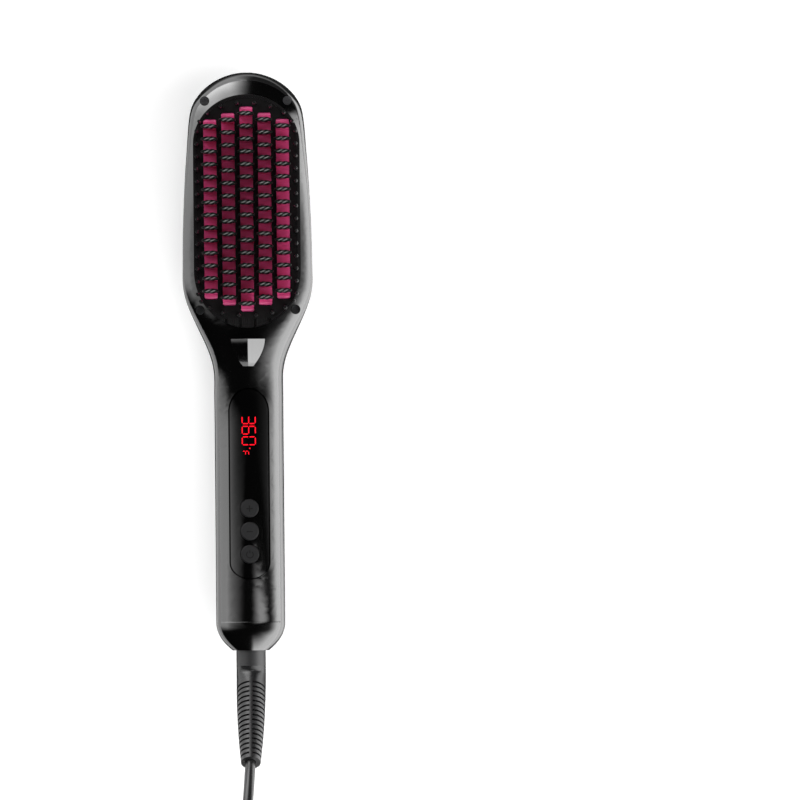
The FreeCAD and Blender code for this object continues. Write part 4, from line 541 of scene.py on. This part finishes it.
# %% Metal finishes
dark_steel = finish("dark_steel", grey(0.08), grey(0.14), 0.42, smudge=0.08, patch=800.0, grain=0.00001,
                    metallic=1.0)
give(dark_steel, "head_screws", "board_screws")
spring_steel = finish("spring_steel", grey(0.42), grey(0.5), 0.3, smudge=0.06, patch=900.0, metallic=1.0)
give(spring_steel, "latch_spring", "heater_clamp")
plated_brass = finish("plated_brass", (0.66, 0.6, 0.46), (0.76, 0.7, 0.55), 0.22, smudge=0.05, patch=500.0,
                      metallic=1.0)
give(plated_brass, "plug_blades")
cast_aluminium = finish("cast_aluminium", grey(0.5), grey(0.62), 0.5, smudge=0.08, patch=300.0,
                        grain=0.00004, metallic=1.0)
give(cast_aluminium, "steam_chamber", "thermal_fuse")
print("metals:", dark_steel.name, spring_steel.name, plated_brass.name, cast_aluminium.name)

# %% [markdown]
# ## The pieces inside
# Nobody sees these until the brush is opened, but each is made of something: undyed nylon,
# silicone, ceramic, glass, and a circuit board whose copper tracks show through its green
# lacquer as lighter lines.

# %% Inner finishes
def board_lacquer(recipe, place):
    """Green lacquer, lighter where a copper track lies under it."""
    tracks = recipe.node("ShaderNodeTexBrick", {}, {"Vector": place, "Scale": 160.0, "Mortar Size": 0.03},
                         "Fac")
    return recipe.mixed(tracks, (0.012, 0.09, 0.03, 1), (0.03, 0.2, 0.07, 1))


inner_nylon = finish("inner_nylon", (0.66, 0.66, 0.63), (0.76, 0.75, 0.72), 0.5, grain=0.00001)
give(inner_nylon, "tank_lid", "water_inlet", "pump", "swivel_socket", "insulator")
seal_silicone = finish("seal_silicone", grey(0.48), grey(0.56), 0.55, grain=0.00001)
give(seal_silicone, "tank_plug", "tank_valve", "steam_tube", "feed_tube", "pressure_tube")
heater_ceramic = finish("heater_ceramic", (0.76, 0.75, 0.7), (0.86, 0.85, 0.81), 0.6, grain=0.00002)
give(heater_ceramic, "heating_element")
sensor_glass = finish("sensor_glass", (0.2, 0.07, 0.025), (0.28, 0.11, 0.04), 0.12, smudge=0.03,
                      coat_weight=0.6, coat_roughness=0.05)
give(sensor_glass, "thermistor")
display_block = finish("display_block", grey(0.006), grey(0.01), 0.5, grain=0.00001)
give(display_block, "display_module")
switch_plastic = finish("switch_plastic", grey(0.022), grey(0.032), 0.45, grain=0.00001)
give(switch_plastic, "key_switches")
board_green = finish("board_green_lacquer", (0, 0, 0), (0, 0, 0), 0.35, grain=0.00001, colour=board_lacquer,
                     coat_weight=0.3, coat_roughness=0.2)
give(board_green, "main_board")
lead_sleeve = finish("lead_sleeve", (0.14, 0.06, 0.025), (0.2, 0.09, 0.04), 0.45, patch=200.0,
                     grain=0.00001)
give(lead_sleeve, "mains_leads")
dressed = {material.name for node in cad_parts.values() for material in node.data.materials}
print("finishes on the solids:", len(dressed))

# %% [markdown]
# ## The caps on the blades
# Each blade wears a small black cap, so that the hot coating never touches the skin. It is a
# pointed spindle, twisted like a short piece of rope, and there are 74 of them in five
# staggered columns. One cap could be modelled and copied by hand, but Geometry Nodes keep the
# rule: a cylinder is bent into the spindle by sums on its points, five rows of points follow
# the pitches, and one copy is set on each point. At the end the copies are made real.

# %% Tree for the caps
CAP_SIZES = {"Cap length": 8.4 * MM, "Cap thickness": 2.4 * MM, "Cap foot": 41.6 * MM, "Cap tip": 50.6 * MM,
             "Twist pitch": 2.8 * MM, "Column pitch": 9.1 * MM, "Row pitch": 6.33 * MM,
             "First row": down_from_tip(21.4)}
MIDDLE_ROWS = 16
SIDE_COLUMNS = 2
STRANDS = 4.0
cap_tree = bpy.data.node_groups.new("twisted_caps", "GeometryNodeTree")
cap_sockets = {}
for name, value in CAP_SIZES.items():
    cap_sockets[name] = cap_tree.interface.new_socket(name, in_out="INPUT", socket_type="NodeSocketFloat")
    cap_sockets[name].default_value = value
cap_tree.interface.new_socket("Geometry", in_out="OUTPUT", socket_type="NodeSocketGeometry")
caps = Recipe(cap_tree)
given = caps.node("NodeGroupInput")


def asked(name):
    return given.out(name)


rod = caps.node("GeometryNodeMeshCylinder", {"fill_type": "TRIANGLE_FAN"},
                {"Vertices": 16, "Side Segments": 30, "Radius": 1.0, "Depth": 1.0}, "Mesh")
spot = caps.node("ShaderNodeSeparateXYZ", {}, [caps.node("GeometryNodeInputPosition")])
sideways, upwards = spot, spot.out("Y")
run = spot.out("Z") * asked("Cap length")
# four strands wound round the cap: twist is 1 on a ridge and -1 in a groove
angle = spot.sum("ARCTAN2", sideways, upwards)
wound = angle * STRANDS - run * (2.0 * math.pi) / asked("Twist pitch") + math.pi
twist = wound.sum("COSINE", wound)
fullness = 0.92 + twist * 0.14
# the spindle's pointed outline, fuller below than above
from_middle = spot.out("Z").magnitude() * 2.0
taper = (1.0 - from_middle ** 2.4 * 0.92) ** 0.5
half_thick = asked("Cap thickness") * 0.5
new_y = sideways * half_thick * taper * fullness * (1.06 - upwards * 0.3)
middle = asked("Cap foot") + (asked("Cap tip") - asked("Cap foot")) * 0.62
raised = (asked("Cap tip") - middle) * upwards * (0.84 + twist * 0.16) * (0.4 + taper * 0.6)
lowered = (middle - asked("Cap foot")) * upwards
above = spot.sum("GREATER_THAN", upwards, 0.0)
new_z = middle + raised * above + lowered * (1.0 - above)
bent = caps.node("ShaderNodeCombineXYZ", {}, [run, new_y, new_z])
# where the painted highlight lies on the ridges: on top, and not at the pointed ends
ridge_highlight_mask = (caps.between(twist, 0.1, 0.9) * caps.between(upwards, 0.55, 0.9)
             * (1.0 - caps.between(run.magnitude(), 2.0 * MM, 2.7 * MM)))
cap = caps.node("GeometryNodeStoreNamedAttribute", {"data_type": "FLOAT", "domain": "POINT"},
                {"Geometry": rod, "Name": "ridge", "Value": ridge_highlight_mask})
cap = caps.node("GeometryNodeSetPosition", {}, {"Geometry": cap, "Position": bent})
cap = caps.node("GeometryNodeSetShadeSmooth", {}, {"Geometry": cap})
# a row of points for each column; each column further out has one cap less, half a pitch lower
columns = caps.node("GeometryNodeJoinGeometry")
for column in range(-SIDE_COLUMNS, SIDE_COLUMNS + 1):
    out = abs(column)
    start = caps.node("ShaderNodeCombineXYZ", {}, [asked("Column pitch") * column,
                                                  asked("First row") - asked("Row pitch") * (out / 2), 0.0])
    stride = caps.node("ShaderNodeCombineXYZ", {}, [0.0, asked("Row pitch") * -1.0, 0.0])
    row = caps.node("GeometryNodeMeshLine", {"mode": "OFFSET"},
                    {"Count": MIDDLE_ROWS - out, "Start Location": start, "Offset": stride})
    cap_tree.links.new(row.socket, columns.socket.node.inputs[0])
copies = caps.node("GeometryNodeInstanceOnPoints", {}, {"Points": columns, "Instance": cap})
real = caps.node("GeometryNodeRealizeInstances", {}, {"Geometry": copies})
coated = caps.node("GeometryNodeSetMaterial", {}, {"Geometry": real, "Material": cap_black})
caps.node("NodeGroupOutput", {}, {"Geometry": coated})
print("the tree for the caps has", len(cap_tree.nodes), "nodes")


# %% Caps as a plain mesh
def grown(name, tree, sockets, values):
    """The mesh that a tree makes, as a plain object at the origin."""
    seed = bpy.data.objects.new(name + "_seed", bpy.data.meshes.new(name + "_seed"))
    bpy.context.scene.collection.objects.link(seed)
    modifier = seed.modifiers.new(name, "NODES")
    modifier.node_group = tree
    for key, value in values.items():
        modifier[sockets[key].identifier] = value
    depsgraph = bpy.context.evaluated_depsgraph_get()
    mesh = bpy.data.meshes.new_from_object(seed.evaluated_get(depsgraph))
    bpy.data.objects.remove(seed)
    made = bpy.data.objects.new(name, mesh)
    bpy.context.scene.collection.objects.link(made)
    return made


scald_caps = grown("scald_caps", cap_tree, cap_sockets, CAP_SIZES)
print("caps:", len(scald_caps.data.polygons), "faces")


# %% [markdown]
# ## The display and the marks
# The red figures shine through the lens from below, and the keys carry small moulded signs.
# Each is a thin plate that follows the surface it lies on: its corners are dropped onto that
# surface with rays. A flat text laid over a curved lens would float at one end and sink at the
# other.

# %% Plates laid on a surface
RAY_START = 60 * MM


def laid_on(name, host, outlines, lift, depth, drop=Vector((0.0, 0.0, -1.0))):
    """Closed thin plates with those outlines, on the surface of a solid.

    Each outline is a list of points outside the solid, from which rays go the way of drop.
    """
    surface = BVHTree.FromObject(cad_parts[host], bpy.context.evaluated_depsgraph_get())
    form = bmesh.new()
    for outline in outlines:
        face = form.faces.new([form.verts.new(corner) for corner in outline])
        face.normal_update()
        if face.normal.dot(drop) > 0:
            face.normal_flip()
    bmesh.ops.triangulate(form, faces=form.faces[:])
    for _ in range(2):
        bmesh.ops.subdivide_edges(form, edges=form.edges[:], cuts=1)
        bmesh.ops.triangulate(form, faces=form.faces[:])
    for vertex in form.verts:
        hit = surface.ray_cast(vertex.co, drop)[0]
        vertex.co = hit - drop * lift
    walls = bmesh.ops.extrude_face_region(form, geom=form.faces[:])
    lower = [item for item in walls["geom"] if isinstance(item, bmesh.types.BMVert)]
    for vertex in lower:
        vertex.co += drop * (lift + depth)
    bmesh.ops.recalc_face_normals(form, faces=form.faces[:])
    mesh = bpy.data.meshes.new(name)
    form.to_mesh(mesh)
    form.free()
    made = bpy.data.objects.new(name, mesh)
    bpy.context.scene.collection.objects.link(made)
    return made


print("plates can be laid")

# %% The figures
SEGMENTS = {"a": ((0, 1), (1, 1)), "b": ((1, 1), (1, 0.5)), "c": ((1, 0.5), (1, 0)), "d": ((0, 0), (1, 0)),
            "e": ((0, 0.5), (0, 0)), "f": ((0, 1), (0, 0.5)), "g": ((0, 0.5), (1, 0.5))}
LIT = {"3": "abcdg", "6": "acdefg", "0": "abcdef", "F": "aefg"}
FIGURE_HALF, UNIT_HALF = 0.27, 0.2
FIGURE_FOOT, FIGURE_TOP = -3.6, 3.5


def bar(first, second, half):
    """Bar with pointed ends between two places on the lens."""
    along_bar = (second - first).normalized()
    beside = Vector((-along_bar.y, along_bar.x, 0.0)) * half
    inset = along_bar * (half * 0.9)
    first, second = first + inset, second - inset
    point = along_bar * half
    return [first, first + point + beside, second - point + beside, second, second - point - beside,
            first + point - beside]


def figure(sign, start, end, foot, top, half):
    """A figure's bars: it is read towards the cord, with its top towards +X; sizes in millimetres."""
    def place(share_across, share_up):
        along_text = start + half + (end - start - 2 * half) * share_across
        return Vector(((foot + half + (top - foot - 2 * half) * share_up) * MM, down_from_tip(along_text),
                       RAY_START))
    return [bar(place(*SEGMENTS[key][0]), place(*SEGMENTS[key][1]), half * MM) for key in LIT[sign]]


outlines = []
for sign, sign_start, sign_end in (("3", 172.4, 176.7), ("6", 177.5, 181.9), ("0", 182.8, 187.3)):
    outlines += figure(sign, sign_start, sign_end, FIGURE_FOOT, FIGURE_TOP, FIGURE_HALF)
outlines += figure("F", 190.0, 192.3, -3.5, 0.0, UNIT_HALF)


def disc(x, y, level, radius, sides=10):
    """Outline of a round dot."""
    turns = [2 * math.pi * side / sides for side in range(sides)]
    return [Vector((x + radius * math.cos(turn), y + radius * math.sin(turn), level)) for turn in turns]


outlines.append(disc(0.4 * MM, down_from_tip(188.8), RAY_START, 0.35 * MM))
display_figures = laid_on("display_figures", "control_lens", outlines, 0.02 * MM, 0.1 * MM)
lit_red = finish("lit_red_segments", (0.5, 0.0, 0.01), (0.6, 0.0, 0.012), 0.3,
                 emission_color=(1.0, 0.0, 0.006, 1), emission_strength=0.8)
display_figures.data.materials.append(lit_red)
print("figures:", len(display_figures.data.polygons), "faces")

# %% Signs on the keys and the mark on the cap
key_middles = {name: (Vector(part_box(name)[0]) + Vector(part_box(name)[1])) / 2
               for name in ("button_plus", "button_minus", "button_power")}


def stroke(centre, x0, y0, x1, y1, half):
    """Straight stroke on a key, in millimetres from its centre."""
    first = Vector((centre.x + x0 * MM, centre.y + y0 * MM, RAY_START))
    second = Vector((centre.x + x1 * MM, centre.y + y1 * MM, RAY_START))
    beside = (second - first).normalized().cross(Vector((0, 0, 1))) * (half * MM)
    return [first - beside, second - beside, second + beside, first + beside]


def ring_strokes(centre, radius, start, end, sides, half):
    """Arc of short pieces on a key; angles in degrees from +X."""
    pieces = []
    for side in range(sides):
        turns = [math.radians(start + (end - start) * (side + more) / sides) for more in (0, 1)]
        pieces.append([Vector((centre.x + reach * MM * math.cos(turn), centre.y + reach * MM * math.sin(turn),
                               RAY_START))
                       for turn, reach in ((turns[0], radius - half), (turns[1], radius - half),
                                           (turns[1], radius + half), (turns[0], radius + half))])
    return pieces


plus, minus, power = (key_middles[name] for name in ("button_plus", "button_minus", "button_power"))
sign_dark = finish("sign_dark_moulding", grey(0.004), grey(0.006), 0.7, grain=0.000005,
                   specular_ior_level=0.1)
key_signs = {
    "button_plus": [stroke(plus, -1.6, 0, 1.6, 0, 0.25), stroke(plus, 0, 0.25, 0, 1.6, 0.25),
                    stroke(plus, 0, -1.6, 0, -0.25, 0.25)],
    "button_minus": [stroke(minus, -1.6, 0, 1.6, 0, 0.25)],
    "button_power": ring_strokes(power, 1.7, 125, 415, 16, 0.22) + [stroke(power, 0, 0.7, 0, 2.2, 0.22)],
}
KEY_BODIES = {"button_plus": "plus_key", "button_minus": "minus_key", "button_power": "power_key"}
for key_name, strokes in key_signs.items():
    sign = laid_on("sign_" + key_name, key_name, strokes, 0.03 * MM, 0.08 * MM)
    sign.data.materials.append(sign_dark)
    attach(sign, KEY_BODIES[key_name])
MARK_Y, MARK_Z = down_from_tip(287.9), 25.9 * MM
mark_outline = [Vector((-40 * MM, MARK_Y + 1.0 * MM, MARK_Z + 1.4 * MM)),
                Vector((-40 * MM, MARK_Y - 1.0 * MM, MARK_Z + 1.4 * MM)),
                Vector((-40 * MM, MARK_Y, MARK_Z - 1.4 * MM))]
cap_mark = laid_on("cap_mark", "end_cap", [mark_outline], 0.03 * MM, 0.1 * MM, Vector((1.0, 0.0, 0.0)))
cap_mark.data.materials.append(sign_dark)
print("signs laid on the keys and the cap")

# %% [markdown]
# ## The latch's spring
# A spring has one end on the brush and one on the latch, so no single body can carry it. A copy
# of its mesh is left where the spring is, on no body, and the spring's solid is hidden. It stands
# for the spring's solid.

# %% Spring between two bodies
latch_coil = bpy.data.objects.new("latch_coil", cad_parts["latch_spring"].data.copy())
bpy.context.scene.collection.objects.link(latch_coil)
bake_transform(latch_coil)
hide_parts("latch_spring")

# %% [markdown]
# ## Everything in its place
# Each piece rides on the body that carries it, so it moves when a joint moves. The caps and
# the cord stand for plainer solids, which are hidden but still take part in collisions.

# %% Rides and stand-ins
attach(scald_caps, "brush")
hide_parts("bristle_caps")
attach(display_figures, "brush")
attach(cap_mark, "brush")
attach(mains_cord, "cord_swivel")
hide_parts("cord", "cord_coil")
print("caps, figures, mark and cord ride on the brush and on the swivel")
